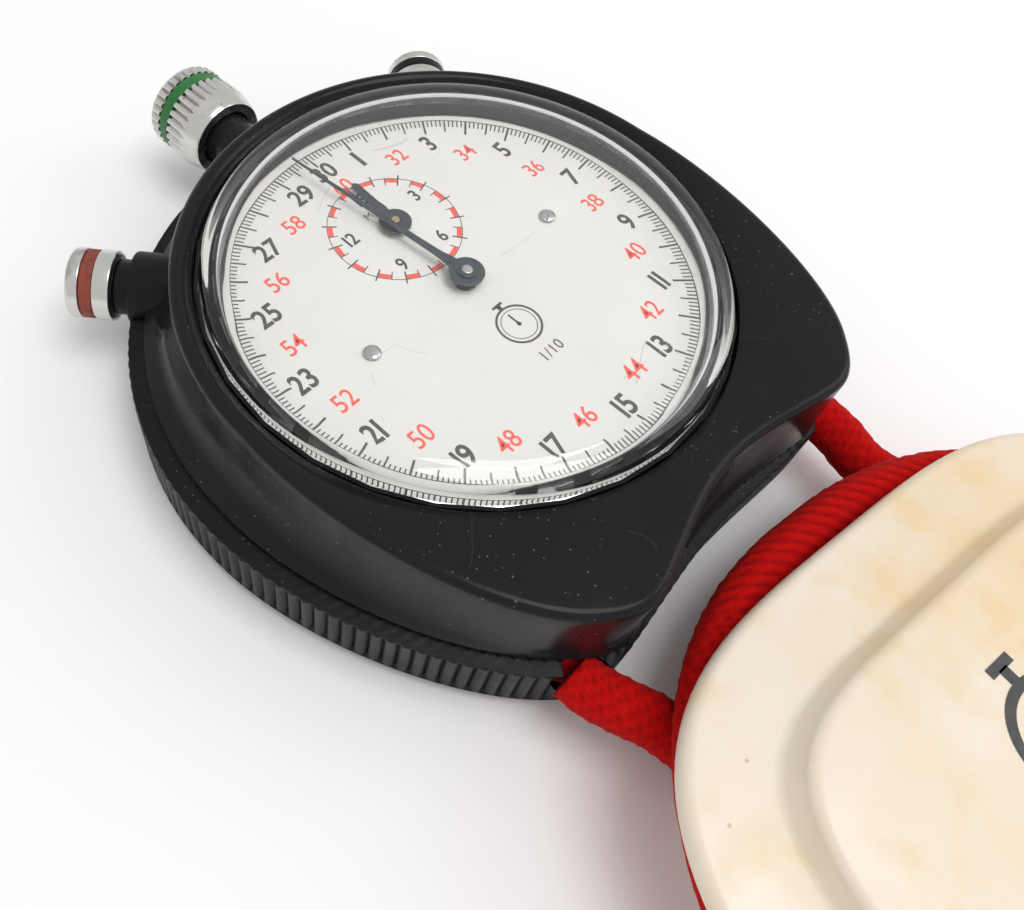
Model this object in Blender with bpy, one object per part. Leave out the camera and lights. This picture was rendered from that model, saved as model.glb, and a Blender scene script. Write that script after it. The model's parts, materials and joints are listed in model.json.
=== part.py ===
"""Mechanical hand stopwatch with its cord and cord winder.

Sizes below are in millimetres, and the meshes are scaled to metres when they are made.
+Z points from the back of the case to the crystal and +Y to the crown. The origin is on
the face that the watch rests on, on the axis of the dial.
"""
import math

import bmesh
import bpy
from mathutils import Matrix, Vector

MM = 0.001

# Case
CASE_R = 28.0
SEAM_R = 26.5
RIM_R = 23.7
CAVITY_R = 20.9
FLOOR_Z = 1.8
SEAM_Z = 7.5
RIM_Z = 15.3
LEDGE_Z = 13.3
LIP_R = 22.1
LIP_Z = 6.2
SEAT_R = 21.9
CASE_GAP = 0.15

# Crystal, dial and hands
CRYSTAL_R = 21.4
CRYSTAL_TOP = 17.0
DIAL_R = 20.7
DIAL_LOW = 11.6
DIAL_TOP = 12.0
SUB_DIAL_Y = 8.1
DIAL_SCREW_X = 10.75
SWEEP_LENGTH = 19.4
MINUTE_LENGTH = 5.6
SWEEP_TURN = 5.3
MINUTE_TURN = -4.0

# Crown and pushers: azimuths in degrees, distances from the dial's axis
CROWN_AZIMUTH = 90.0
STOP_AZIMUTH = 130.0
RESET_AZIMUTH = 50.0
BUTTON_Z = 7.1
TUBE_R = 2.6
GUIDE_R = 3.2
GUIDE_END = 28.05

# Movement plates and layers, as heights
MAIN_LOW = 9.6
MAIN_TOP = 11.2
PLATE_R = 19.0
BRIDGE_LOW = 2.4
BRIDGE_TOP = 3.3
KEYLESS_LOW = 4.6
KEYLESS_TOP = 5.2
TOOTH_GAP = 0.1

# Movement centres
BARREL_AT = (-6.3, 6.57)
CROWN_WHEEL_AT = (0.0, 13.0)
CENTRE_AT = (-10.6, 1.3)
THIRD_AT = (-5.0, -2.0)
SWEEP_AT = (0.0, 0.0)
ESCAPE_AT = (3.2, -3.85)
PALLET_AT = (6.0, -6.6)
BALANCE_AT = (8.6, -9.2)
TRANSFER_AT = (1.38, 3.84)
MINUTE_AT = (0.0, SUB_DIAL_Y)
HAMMER_AT = (13.0, 6.0)
CLICK_AT = (-13.2, 9.0)
PIVOT_HOLE = 0.42
PINION_R = 0.85

# Cord and winder
CORD_R = 2.0
CHANNEL_R = 2.2
CHANNEL_Y = -24.0
CHANNEL_Z = 4.9
HORN_X = 12.4
HORN_BEND = 3.7
MOUTH_RISE = 0.7
WINDER_AT = (-1.9, -63.3)
WINDER_TURN = -9.8
WINDER_SIZE = (26.9, 30.0)
BASE_SIZE = (23.0, 26.5)
RAISED_AT = (-1.2, -64.2)
RAISED_SIZE = (20.3, 24.0)
WINDER_CORE = (16.0, 20.0)
WINDING_AT = (-1.3, -62.6)
WINDING_SIZE = (28.0, 32.6)
WINDER_PLATE = 2.0
WINDER_CHANNEL = 8.6
WINDER_TOP = 14.6

ROUND = 30
CAP_SIDES = 20
PIN_SIDES = 8

FINISHES = {
    "black_plastic": ((0.012, 0.012, 0.015), 0.25, 0.0),
    "gasket_rubber": ((0.03, 0.03, 0.03), 0.8, 0.0),
    "clear_acrylic": ((0.9, 0.93, 0.93), 0.05, 0.0),
    "silver_dial": ((0.80, 0.79, 0.75), 0.45, 0.1),
    "polished_aluminium": ((0.80, 0.80, 0.80), 0.2, 1.0),
    "nickel": ((0.62, 0.60, 0.56), 0.3, 1.0),
    "brass": ((0.72, 0.52, 0.24), 0.3, 1.0),
    "steel": ((0.55, 0.56, 0.58), 0.25, 1.0),
    "dark_steel": ((0.06, 0.07, 0.08), 0.3, 1.0),
    "green_band": ((0.015, 0.21, 0.05), 0.45, 0.0),
    "red_band": ((0.30, 0.04, 0.02), 0.7, 0.0),
    "red_cord": ((0.50, 0.005, 0.005), 0.9, 0.0),
    "white_plastic": ((0.80, 0.75, 0.64), 0.4, 0.0),
}


def clear_scene():
    for old in list(bpy.data.objects):
        bpy.data.objects.remove(old)


def make_material(name, colour, roughness, metallic):
    finish = bpy.data.materials.new(name)
    finish.use_nodes = True
    shader = finish.node_tree.nodes["Principled BSDF"]
    shader.inputs["Base Color"].default_value = (*colour, 1.0)
    shader.inputs["Roughness"].default_value = roughness
    shader.inputs["Metallic"].default_value = metallic
    return finish


# ---------------------------------------------------------------- mesh helpers


def circle(radius, height, sides=ROUND, centre=(0.0, 0.0)):
    if radius == 0.0:
        return [(centre[0], centre[1], height)]
    ring = []
    for step in range(sides):
        angle = 2 * math.pi * step / sides
        x = centre[0] + radius * math.cos(angle)
        y = centre[1] + radius * math.sin(angle)
        ring.append((x, y, height))
    return ring


def bridge(bm, low, high):
    """Faces between two rings of the same count, or between a ring and a point."""
    count = max(len(low), len(high))
    for step in range(count):
        after = (step + 1) % count
        corners = [low[step % len(low)], low[after % len(low)]]
        corners += [high[after % len(high)], high[step % len(high)]]
        bm.faces.new(list(dict.fromkeys(corners)))


def loft(rings, closed=False, bm=None):
    """Skins a row of rings. Closed joins the last to the first, otherwise the ends are capped."""
    bm = bm or bmesh.new()
    loops = [[bm.verts.new(point) for point in ring] for ring in rings]
    for low, high in zip(loops, loops[1:]):
        bridge(bm, low, high)
    if closed:
        bridge(bm, loops[-1], loops[0])
        return bm
    for end in (loops[0], loops[-1]):
        if len(end) > 2:
            bm.faces.new(end)
    return bm


def turned(profile, sides=ROUND, closed=True):
    """A profile of (radius, height) points turned about Z."""
    return loft([circle(radius, height, sides) for radius, height in profile], closed)


def tube(inner, outer, low, high, sides=ROUND):
    return turned([(outer, low), (outer, high), (inner, high), (inner, low)], sides)


def prism(outline, low, high):
    return loft([[(x, y, z) for x, y in outline] for z in (low, high)])


def posts(places, low, high, sides=PIN_SIDES):
    """Separate upright cylinders, one for each (x, y, radius)."""
    bm = bmesh.new()
    for x, y, radius in places:
        loft([circle(radius, z, sides, (x, y)) for z in (low, high)], bm=bm)
    return bm


def hull(circles, sides=16):
    """The outline of a band drawn tight round a few (x, y, radius) circles."""
    points = []
    for x, y, radius in circles:
        points += [(px, py) for px, py, _ in circle(radius, 0.0, sides, (x, y))]
    points = sorted({(round(px, 4), round(py, 4)) for px, py in points})
    outline = []
    for row in (points, points[::-1]):
        side = []
        for point in row:
            while len(side) > 1 and turn_of(side[-2], side[-1], point) <= 1e-9:
                side.pop()
            side.append(point)
        outline += side[:-1]
    return outline


def turn_of(first, second, third):
    ax, ay = second[0] - first[0], second[1] - first[1]
    bx, by = third[0] - first[0], third[1] - first[1]
    return ax * by - ay * bx


def gear(teeth, tip, depth):
    """The outline of a toothed wheel about the origin."""
    outline = []
    for step in range(2 * teeth):
        angle = math.pi * step / teeth
        radius = tip if step % 2 == 0 else tip - depth
        outline.append((radius * math.cos(angle), radius * math.sin(angle)))
    return outline


def bezier(start, first, second, end, steps):
    """Points along a cubic curve, without its end."""
    row = []
    for step in range(steps):
        t = step / steps
        weights = ((1 - t) ** 3, 3 * t * (1 - t) ** 2, 3 * t * t * (1 - t), t**3)
        corners = (start, first, second, end)
        x = sum(weight * corner[0] for weight, corner in zip(weights, corners))
        y = sum(weight * corner[1] for weight, corner in zip(weights, corners))
        row.append((x, y))
    return row


def smooth_route(points, steps):
    """Catmull-Rom points through a hand-chosen route."""
    points = [Vector(point) for point in points]
    ends = [2 * points[0] - points[1], *points, 2 * points[-1] - points[-2]]
    row = []
    for index in range(len(points) - 1):
        a, b, c, d = ends[index : index + 4]
        for step in range(steps):
            t = step / steps
            mix = 2 * b + (c - a) * t + (2 * a - 5 * b + 4 * c - d) * t * t
            row.append((mix + (3 * b - a - 3 * c + d) * t**3) / 2)
    return row + [points[-1]]


def superellipse(centre, half_sizes, exponent, turn, steps=40):
    """A rounded-square outline, turned by so many degrees."""
    outline = []
    for step in range(steps):
        angle = 2 * math.pi * step / steps
        cosine, sine = math.cos(angle), math.sin(angle)
        u = half_sizes[0] * math.copysign(abs(cosine) ** (2 / exponent), cosine)
        v = half_sizes[1] * math.copysign(abs(sine) ** (2 / exponent), sine)
        spot = Matrix.Rotation(math.radians(turn), 2) @ Vector((u, v))
        outline.append((centre[0] + spot.x, centre[1] + spot.y))
    return outline


def ribbon(inner, outer, turns, low, high, thickness, steps=9):
    """A flat spiral spring about Z."""
    sections = []
    for step in range(int(turns * steps) + 1):
        share = step / (turns * steps)
        radius = inner + (outer - inner) * share
        angle = 2 * math.pi * turns * share
        across = Vector((math.cos(angle), math.sin(angle), 0.0))
        near, far = across * radius, across * (radius + thickness)
        up = Vector((0, 0, 1))
        sections.append([near + up * low, far + up * low, far + up * high, near + up * high])
    return loft(sections)


# -------------------------------------------------------------- object helpers


def place(obj, parent):
    bpy.context.scene.collection.objects.link(obj)
    obj.parent = parent
    return obj


def frame_at(name, place_mm, azimuth=None):
    """An empty on a joint's axis. With an azimuth, its Z points outwards along it."""
    empty = bpy.data.objects.new(name, None)
    empty.location = Vector(place_mm) * MM
    if azimuth is not None:
        empty.rotation_euler = (0.0, math.radians(90), math.radians(azimuth))
    return place(empty, None)


def add(name, bm, finish, parent=None):
    bmesh.ops.scale(bm, vec=(MM, MM, MM), verts=bm.verts)
    bmesh.ops.recalc_face_normals(bm, faces=bm.faces)
    mesh = bpy.data.meshes.new(name)
    bm.to_mesh(mesh)
    bm.free()
    if finish:
        mesh.materials.append(materials[finish])
    mesh.shade_smooth()
    mesh.set_sharp_from_angle(angle=math.radians(35))
    return place(bpy.data.objects.new(name, mesh), parent)


def tool(name, bm, parent=None):
    """A shape that only cuts or joins, and isn't a piece itself."""
    obj = add(name, bm, None, parent)
    obj.hide_render = True
    obj.display_type = "WIRE"
    return obj


def combine(obj, operation, *tools):
    for other in tools:
        change = obj.modifiers.new(other.name, "BOOLEAN")
        change.operation = operation
        change.solver = "EXACT"
        change.object = other
    return obj


def wire(name, points, radius, finish, parent=None, resolution=2):
    """A round cord or wire along points in millimetres."""
    curve = bpy.data.curves.new(name, "CURVE")
    curve.dimensions = "3D"
    curve.bevel_depth = radius * MM
    curve.bevel_resolution = resolution
    curve.use_fill_caps = True
    spline = curve.splines.new("POLY")
    spline.points.add(len(points) - 1)
    for spot, point in zip(spline.points, points):
        spot.co = (*(Vector(point) * MM), 1.0)
    curve.materials.append(materials[finish])
    return place(bpy.data.objects.new(name, curve), parent)


def coil_spring(name, radius, low, high, parent, turns=3, steps=8):
    points = []
    for step in range(turns * steps + 1):
        share = step / (turns * steps)
        angle = 2 * math.pi * turns * share
        height = low + (high - low) * share
        points.append((radius * math.cos(angle), radius * math.sin(angle), height))
    return wire(name, points, 0.16, "steel", parent, 0)


# ------------------------------------------------------------------------ case


def case_outline(radius, side, corner, hollow, inset=0.0):
    """One level of the case: a round head, two horns and the hollow between them.

    side and hollow hold the two guide points of their curves, corner the horn's two ends
    and its guide points, all on the +X half.
    """
    start, first, second, end = corner
    middle = (0.0, hollow[2])
    right = bezier((radius, 0.0), side[0], side[1], start, 6)
    right += bezier(start, first, second, end, 4)
    right += bezier(end, hollow[0], hollow[1], middle, 5)
    head = []
    for step in range(1, 24):
        angle = math.radians(180 - 7.5 * step)
        head.append((radius * math.cos(angle), radius * math.sin(angle)))
    left = [(-x, y) for x, y in reversed(right)]
    outline = right + [middle] + left + head
    return [shrink(x, y, inset) for x, y in outline]


def shrink(x, y, inset):
    length = math.hypot(x, y)
    share = (length - inset) / length
    return (x * share, y * share)


def rim_outline(inset=0.0):
    side = ((24.5, -9.0), (21.0, -21.0))
    corner = ((16.8, -25.0), (15.6, -26.1), (14.0, -27.6), (12.0, -27.5))
    return case_outline(RIM_R, side, corner, ((8.5, -27.1), (4.5, -25.2), -25.2), inset)


def seam_outline(inset=0.0):
    side = ((26.9, -8.5), (22.6, -19.5))
    corner = ((17.2, -24.8), (15.9, -26.2), (14.2, -27.8), (12.0, -27.7))
    return case_outline(SEAM_R, side, corner, ((8.5, -27.3), (4.5, -26.2), -26.2), inset)


def back_outline(inset=0.0):
    side = ((28.2, -9.0), (23.0, -20.5))
    corner = ((17.9, -25.6), (16.6, -26.9), (15.0, -28.3), (12.5, -28.1))
    return case_outline(CASE_R, side, corner, ((9.0, -27.9), (4.0, -27.2), -27.2), inset)


def at_height(outline, height):
    return [(x, y, height) for x, y in outline]


def between(first, second, share):
    pairs = zip(first, second)
    return [(a[0] + (b[0] - a[0]) * share, a[1] + (b[1] - a[1]) * share) for a, b in pairs]


def round_inside(outline, radius, height):
    """A circle with one point for each point of the outline, at the same azimuth."""
    ring = []
    for x, y in outline:
        share = radius / math.hypot(x, y)
        ring.append((x * share, y * share, height))
    return ring


def make_front_case():
    rim, seam = rim_outline(), seam_outline()
    low = SEAM_Z + CASE_GAP
    rings = [
        round_inside(seam, LIP_R, low),
        at_height(seam, low),
        at_height(between(seam, rim, 0.45), low + 1.2),
        at_height(between(seam, rim, 0.8), low + 3.2),
        at_height(rim, RIM_Z - 0.6),
        at_height(rim_outline(0.7), RIM_Z),
        round_inside(rim, SEAT_R, RIM_Z - 0.7),
        round_inside(rim, SEAT_R, LEDGE_Z),
        round_inside(rim, CAVITY_R, LEDGE_Z),
        round_inside(rim, CAVITY_R, LIP_Z + CASE_GAP),
        round_inside(rim, LIP_R, LIP_Z + CASE_GAP),
    ]
    return add("front_case", loft(rings, closed=True), "black_plastic")


def make_back_case():
    back, seam = back_outline(), seam_outline()
    top = SEAM_Z - CASE_GAP
    rings = [
        at_height(back_outline(3.0), 0.0),
        at_height(back_outline(1.0), 0.6),
        at_height(back, 2.0),
        at_height(back, 6.9),
        at_height(seam, top),
        round_inside(seam, LIP_R + 0.15, top),
        round_inside(seam, LIP_R + 0.15, LIP_Z),
        round_inside(seam, CAVITY_R, LIP_Z),
        round_inside(seam, CAVITY_R, FLOOR_Z),
    ]
    return add("back_case", loft(rings), "black_plastic")


def channel_path(turn, beyond=0.0):
    """Centre line of the cord inside the right horn, from the middle outwards."""
    path = [(0.0, CHANNEL_Y, CHANNEL_Z), (HORN_X / 2, CHANNEL_Y, CHANNEL_Z)]
    steps = 8
    for step in range(steps + 1):
        share = step / steps
        angle = math.radians(90 - turn * share)
        x = HORN_X + HORN_BEND * math.cos(angle)
        y = CHANNEL_Y - HORN_BEND + HORN_BEND * math.sin(angle)
        path.append((x, y, CHANNEL_Z + MOUTH_RISE * share**2 * (3 - 2 * share)))
    if beyond:
        last, before = Vector(path[-1]), Vector(path[-2])
        path.append(tuple(last + (last - before).normalized() * beyond))
    return path


def both_ways(right_path, left_path):
    """One path from the left mouth to the right one."""
    left = [(-x, y, z) for x, y, z in reversed(left_path)]
    return left[:-1] + right_path


def channel_shape():
    path = [Vector(point) for point in both_ways(channel_path(103, 3.0), channel_path(103, 3.0))]
    rings = []
    for index, point in enumerate(path):
        before, after = path[max(index - 1, 0)], path[min(index + 1, len(path) - 1)]
        ahead = (after - before).normalized()
        side = ahead.cross(Vector((0, 0, 1))).normalized()
        up = side.cross(ahead)
        ring = []
        for step in range(14):
            angle = 2 * math.pi * step / 14
            ring.append(point + (side * math.cos(angle) + up * math.sin(angle)) * CHANNEL_R)
        rings.append(ring)
    return loft(rings)


def make_case(crown_frame, stop_frame, reset_frame):
    front, back = make_front_case(), make_back_case()
    hole_r = TUBE_R + 0.15
    hole = turned([(0.0, 19), (hole_r, 19), (hole_r, 32), (0.0, 32)], 20, False)
    holes = [tool("crown_hole", hole, crown_frame)]
    for name, frame in (("stop_hole", stop_frame), ("reset_hole", reset_frame)):
        profile = [(0.0, 19), (GUIDE_R + 0.15, 19), (GUIDE_R + 0.15, 32), (0.0, 32)]
        holes.append(tool(name, turned(profile, 20, False), frame))
    combine(front, "DIFFERENCE", *holes)
    combine(back, "DIFFERENCE", *holes, tool("cord_channel", channel_shape()))


def make_crystal():
    outside = [(CRYSTAL_R, 13.5), (CRYSTAL_R, 15.1), (20.9, 15.9), (19.8, 16.3), (12.0, 16.8)]
    inside = [(12.0, 15.7), (19.0, 15.2), (20.0, 14.7), (20.2, 13.5)]
    add("crystal", turned_shell(outside + [(0.0, CRYSTAL_TOP)], inside), "clear_acrylic")
    add("crystal_gasket", tube(21.5, 21.8, 13.5, 14.4), "gasket_rubber")


def turned_shell(outside, inside):
    """A dome: the outer profile runs up to the axis, the inner one comes back down."""
    bm = bmesh.new()
    outer = [circle(radius, height) for radius, height in outside]
    inner = [circle(0.0, CRYSTAL_TOP - 1.1)] + [circle(radius, height) for radius, height in inside]
    loops = [[bm.verts.new(point) for point in ring] for ring in outer + inner]
    middle = len(outer)
    for low, high in zip(loops[: middle - 1], loops[1:middle]):
        bridge(bm, low, high)
    for low, high in zip(loops[middle:-1], loops[middle + 1 :]):
        bridge(bm, low, high)
    bridge(bm, loops[-1], loops[0])
    return bm


# ---------------------------------------------------------------- dial and hands


def make_dial():
    add("dial_ring", tube(20.3, 20.75, DIAL_TOP + 0.15, LEDGE_Z - 0.1), "black_plastic")
    plate = [(0.0, DIAL_LOW), (DIAL_R, DIAL_LOW), (DIAL_R, DIAL_TOP), (0.0, DIAL_TOP)]
    dial = add("dial", turned(plate, ROUND, False), "silver_dial")
    holes = [(0, 0, 0.9), (*MINUTE_AT, 0.55), (DIAL_SCREW_X, 0, 0.5), (-DIAL_SCREW_X, 0, 0.5)]
    combine(dial, "DIFFERENCE", tool("dial_holes", posts(holes, 11.0, 12.5)))
    add("movement_ring", tube(19.3, 20.7, 8.3, DIAL_LOW - 0.2), "nickel")
    for name, side in (("dial_screw_left", -1), ("dial_screw_right", 1)):
        frame = frame_at(name + "_axis", (side * DIAL_SCREW_X, 0, 0))
        head = [(0.0, 10.4), (0.35, 10.4), (0.35, DIAL_TOP + 0.1)]
        head += [(0.72, DIAL_TOP + 0.1), (0.72, 12.4), (0.0, 12.4)]
        screw = add(name, turned(head, 12, False), "steel", frame)
        slot = prism([(-1, -0.1), (1, -0.1), (1, 0.1), (-1, 0.1)], 12.25, 12.6)
        combine(screw, "DIFFERENCE", tool(name + "_slot", slot, frame))


def spun(outline, degrees):
    turn = Matrix.Rotation(math.radians(degrees), 2)
    return [tuple(turn @ Vector(point)) for point in outline]


def make_hands(sweep_frame, minute_frame):
    """At rest the hands stand where they were stopped, a little off their zero."""
    blade = [(-0.45, 0.0), (0.45, 0.0), (0.2, 3.2)]
    blade += [(0.06, SWEEP_LENGTH), (-0.06, SWEEP_LENGTH), (-0.2, 3.2)]
    sweep = add("sweep_hand", posts([(0, 0, 1.5)], 13.1, 13.35, 20), "dark_steel", sweep_frame)
    combine(sweep, "UNION", tool("sweep_blade", prism(spun(blade, SWEEP_TURN), 13.12, 13.3), sweep_frame))
    combine(sweep, "UNION", tool("sweep_hub", posts([(0, 0, 0.8)], 12.3, 13.55, 14), sweep_frame))
    combine(sweep, "DIFFERENCE", tool("sweep_bore", posts([(0, 0, 0.58)], 12.0, 14.0, 14), sweep_frame))
    shoulder = MINUTE_LENGTH - 0.5
    blade = [(-0.5, 0.0), (0.5, 0.0), (0.5, shoulder), (0.0, MINUTE_LENGTH), (-0.5, shoulder)]
    minute = add("minute_hand", posts([(0, 0, 1.4)], 12.55, 12.8, 20), "dark_steel", minute_frame)
    pointer = prism(spun(blade, MINUTE_TURN), 12.57, 12.75)
    combine(minute, "UNION", tool("minute_blade", pointer, minute_frame))
    combine(minute, "DIFFERENCE", tool("minute_bore", posts([(0, 0, 0.42)], 12.0, 13.5, 12), minute_frame))


# -------------------------------------------------------------- crown and pushers


def make_crown(frame):
    sleeve = [(TUBE_R, 21.7), (TUBE_R, 31.0), (1.75, 31.0), (1.75, 22.2), (1.1, 22.2), (1.1, 21.7)]
    add("crown_tube", turned(sleeve, 20), "black_plastic", frame)
    cap = [(2.8, 30.7), (3.8, 30.7), (4.3, 32.6), (4.3, 34.85), (3.85, 34.85), (3.85, 36.15), (4.3, 36.15)]
    cap += [(4.3, 37.3), (3.9, 37.6), (0.0, 37.6), (0.0, 34.5), (0.9, 34.5), (0.9, 32.9), (2.8, 32.9)]
    add("crown_cap", bored(cap, CAP_SIDES), "polished_aluminium", frame)
    add("crown_band", tube(3.95, 4.25, 34.9, 36.1, CAP_SIDES), "green_band", frame)
    add("stem_collar", tube(0.95, 1.6, 25.0, 26.2, 20), "steel", frame)
    stem = [(0.0, 14.2), (0.8, 14.2), (0.8, 34.2), (0.0, 34.2)]
    add("winding_stem", turned(stem, 12, False), "steel", frame)
    pinion = add("winding_pinion", prism(gear(10, 1.7, 0.35), 15.0, 16.8), "steel", frame)
    combine(pinion, "DIFFERENCE", tool("pinion_bore", posts([(0, 0, 0.9)], 14, 18, 12), frame))
    coil_spring("crown_spring", 1.25, 22.5, 23.5, frame)


def bored(profile, sides):
    """A turned piece whose profile touches the axis twice: at its nose and in its bore."""
    bm = bmesh.new()
    nose = profile.index(next(point for point in profile if point[0] == 0.0))
    loops = [[bm.verts.new(point) for point in circle(*point, sides)] for point in profile]
    for index in range(len(loops)):
        if index != nose:
            bridge(bm, loops[index], loops[(index + 1) % len(loops)])
    return bm


def make_pusher(side, frame, band_finish):
    guide = [(GUIDE_R, 22.0), (GUIDE_R, GUIDE_END), (2.5, GUIDE_END), (2.5, 22.6), (1.0, 22.6), (1.0, 22.0)]
    add(side + "_guide", turned(guide, 20), "black_plastic", frame)
    stem = [(0.0, 20.3), (0.85, 20.3), (0.85, 26.4), (2.4, 26.4)]
    stem += [(2.4, 29.1), (1.0, 29.1), (1.0, 31.4), (0.0, 31.4)]
    add(side + "_stem", turned(stem, 20, False), "black_plastic", frame)
    head = [(2.8, 29.4), (3.05, 29.6), (3.05, 30.95), (2.7, 30.95), (2.7, 32.1), (3.05, 32.1), (3.05, 33.0)]
    head += [(2.8, 33.25), (0.0, 33.25), (0.0, 31.6), (1.1, 31.6), (1.1, 29.4)]
    add(side + "_cap", bored(head, CAP_SIDES), "polished_aluminium", frame)
    add(side + "_band", tube(2.8, 3.02, 31.0, 32.05, CAP_SIDES), band_finish, frame)
    coil_spring(side + "_spring", 1.6, 22.9, 24.3, frame)


# ---------------------------------------------------------------------- movement


def wheel(name, frame, teeth, tip, low, high, finish="brass", leaves=None, arbor=None):
    """A toothed wheel, with its pinion (leaf count, low, high) and arbor (radius, low, high)."""
    obj = add(name, prism(gear(teeth, tip, 0.3), low, high), finish, frame)
    if leaves:
        pinion = prism(gear(leaves[0], PINION_R, 0.25), leaves[1], leaves[2])
        combine(obj, "UNION", tool(name + "_leaves", pinion, frame))
    if arbor:
        combine(obj, "UNION", tool(name + "_arbor", posts([(0, 0, arbor[0])], arbor[1], arbor[2]), frame))
    return obj


def reach(first, second, other=PINION_R):
    """The tip radius that stops just short of a neighbour of the given radius."""
    return math.dist(first, second) - other - TOOTH_GAP


def make_plates():
    disc = [(0.0, MAIN_LOW), (PLATE_R, MAIN_LOW), (PLATE_R, MAIN_TOP), (0.0, MAIN_TOP)]
    main = add("main_plate", turned(disc, ROUND, False), "nickel")
    holes = [(*SWEEP_AT, 0.62), (*MINUTE_AT, 0.45), (*BARREL_AT, 0.9)]
    pivots = (CENTRE_AT, THIRD_AT, ESCAPE_AT, BALANCE_AT, TRANSFER_AT, HAMMER_AT)
    holes += [(*spot, PIVOT_HOLE) for spot in pivots]
    holes += [(side * DIAL_SCREW_X, 0.0, 0.45) for side in (-1, 1)]
    combine(main, "DIFFERENCE", tool("main_plate_holes", posts(holes, MAIN_LOW - 1, MAIN_TOP + 1)))
    barrel_circles = [(*BARREL_AT, 3.2), (*CROWN_WHEEL_AT, 3.0)]
    barrel_holes = [(*BARREL_AT, 0.9), (*CROWN_WHEEL_AT, 0.6)]
    bridge_plate("barrel_bridge", barrel_circles, barrel_holes, [(-11.6, 10.7), (3.9, 15.6)])
    train_circles = [(*CENTRE_AT, 1.6), (-15.0, -6.0, 1.5), (*PALLET_AT, 1.5), (0.6, 0.6, 1.4)]
    train_holes = [(*spot, PIVOT_HOLE) for spot in (CENTRE_AT, THIRD_AT, ESCAPE_AT, PALLET_AT)]
    train_holes.append((*SWEEP_AT, 0.62))
    bridge_plate("train_bridge", train_circles, train_holes, [(-15.0, -6.0), (-1.0, -9.0)])
    cock_circles = [(*BALANCE_AT, 1.6), (15.0, -5.5, 1.6)]
    bridge_plate("balance_cock", cock_circles, [(*BALANCE_AT, PIVOT_HOLE)], [(15.4, -5.2)])


def bridge_plate(name, circles, holes, pillars):
    circles = circles + [(x, y, 1.2) for x, y in pillars]
    plate = add(name, prism(hull(circles), BRIDGE_LOW, BRIDGE_TOP), "nickel")
    feet = posts([(x, y, 0.8) for x, y in pillars], BRIDGE_LOW + 0.3, MAIN_LOW - 0.15, 12)
    combine(plate, "UNION", tool(name + "_pillars", feet))
    combine(plate, "DIFFERENCE", tool(name + "_holes", posts(holes, 2.0, 4.0)))


def make_winding(barrel_frame, crown_wheel_frame, click_frame):
    gap = math.dist(BARREL_AT, CROWN_WHEEL_AT)
    crown_r = 3.6 - TOOTH_GAP / 2
    ratchet_r = gap - crown_r - TOOTH_GAP
    level = (KEYLESS_LOW, KEYLESS_TOP, "steel")
    wheel("crown_wheel", crown_wheel_frame, 20, crown_r, *level, arbor=(0.5, 2.6, 5.0))
    wheel("ratchet_wheel", barrel_frame, 30, ratchet_r, *level, arbor=(0.8, 2.6, 10.9))
    pawl = prism(hull([(0, 0, 0.7), (1.2, -0.9, 0.35)], 12), KEYLESS_LOW, KEYLESS_TOP)
    add("click", pawl, "steel", click_frame)


def make_barrel(frame):
    tip = math.dist(BARREL_AT, CENTRE_AT) - PINION_R - TOOTH_GAP
    barrel = add("mainspring_barrel", prism(gear(36, tip, 0.3), 7.5, 8.1), "brass", frame)
    combine(barrel, "UNION", tool("barrel_wall", posts([(0, 0, 5.3)], 5.5, 7.8, 24), frame))
    hollow = tool("barrel_hollow", posts([(0, 0, 4.9)], 5.0, 7.3, 24), frame)
    combine(barrel, "DIFFERENCE", hollow, tool("barrel_bore", posts([(0, 0, 0.9)], 5.0, 9.0), frame))
    add("mainspring", ribbon(1.1, 4.3, 3, 5.7, 7.1, 0.2), "steel", frame)


def make_train(frames):
    centre_r = reach(CENTRE_AT, THIRD_AT)
    third_r = reach(THIRD_AT, SWEEP_AT)
    sweep_r = reach(SWEEP_AT, ESCAPE_AT, 0.7)
    arbor = (0.35, 2.6, 10.9)
    wheel("centre_wheel", frames["centre"], 32, centre_r, 3.6, 3.9, leaves=(8, 7.3, 8.3), arbor=arbor)
    wheel("third_wheel", frames["third"], 32, third_r, 4.15, 4.4, leaves=(8, 3.45, 4.2), arbor=arbor)
    arbor = (0.5, 2.6, 13.5)
    sweep = wheel("sweep_wheel", frames["sweep"], 45, sweep_r, 3.6, 3.9, leaves=(8, 3.8, 4.55), arbor=arbor)
    upper_leaves = prism(gear(6, 0.75, 0.15), 8.8, 9.35)
    combine(sweep, "UNION", tool("sweep_leaves_upper", upper_leaves, frames["sweep"]))
    escape = add("escape_wheel", prism(gear(20, 2.8, 0.6), 5.2, 5.45), "steel", frames["escape"])
    combine(escape, "UNION", tool("escape_leaves", prism(gear(6, 0.7, 0.2), 3.45, 4.1), frames["escape"]))
    combine(escape, "UNION", tool("escape_arbor", posts([(0, 0, 0.35)], 2.6, 10.9), frames["escape"]))
    rim = prism(gear(30, 3.2, 0.25), 8.9, 9.2)
    transfer = add("minute_transfer_wheel", rim, "brass", frames["transfer"])
    leaves = prism(gear(6, 0.65, 0.15), 8.3, 9.0)
    combine(transfer, "UNION", tool("transfer_leaves", leaves, frames["transfer"]))
    arbor = posts([(0, 0, 0.35)], 8.25, 10.9)
    combine(transfer, "UNION", tool("transfer_arbor", arbor, frames["transfer"]))
    minute = add("minute_wheel", prism(gear(36, 3.7, 0.25), 8.35, 8.65), "brass", frames["minute"])
    combine(minute, "UNION", tool("minute_arbor", posts([(0, 0, 0.35)], 8.2, 12.95), frames["minute"]))


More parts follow.
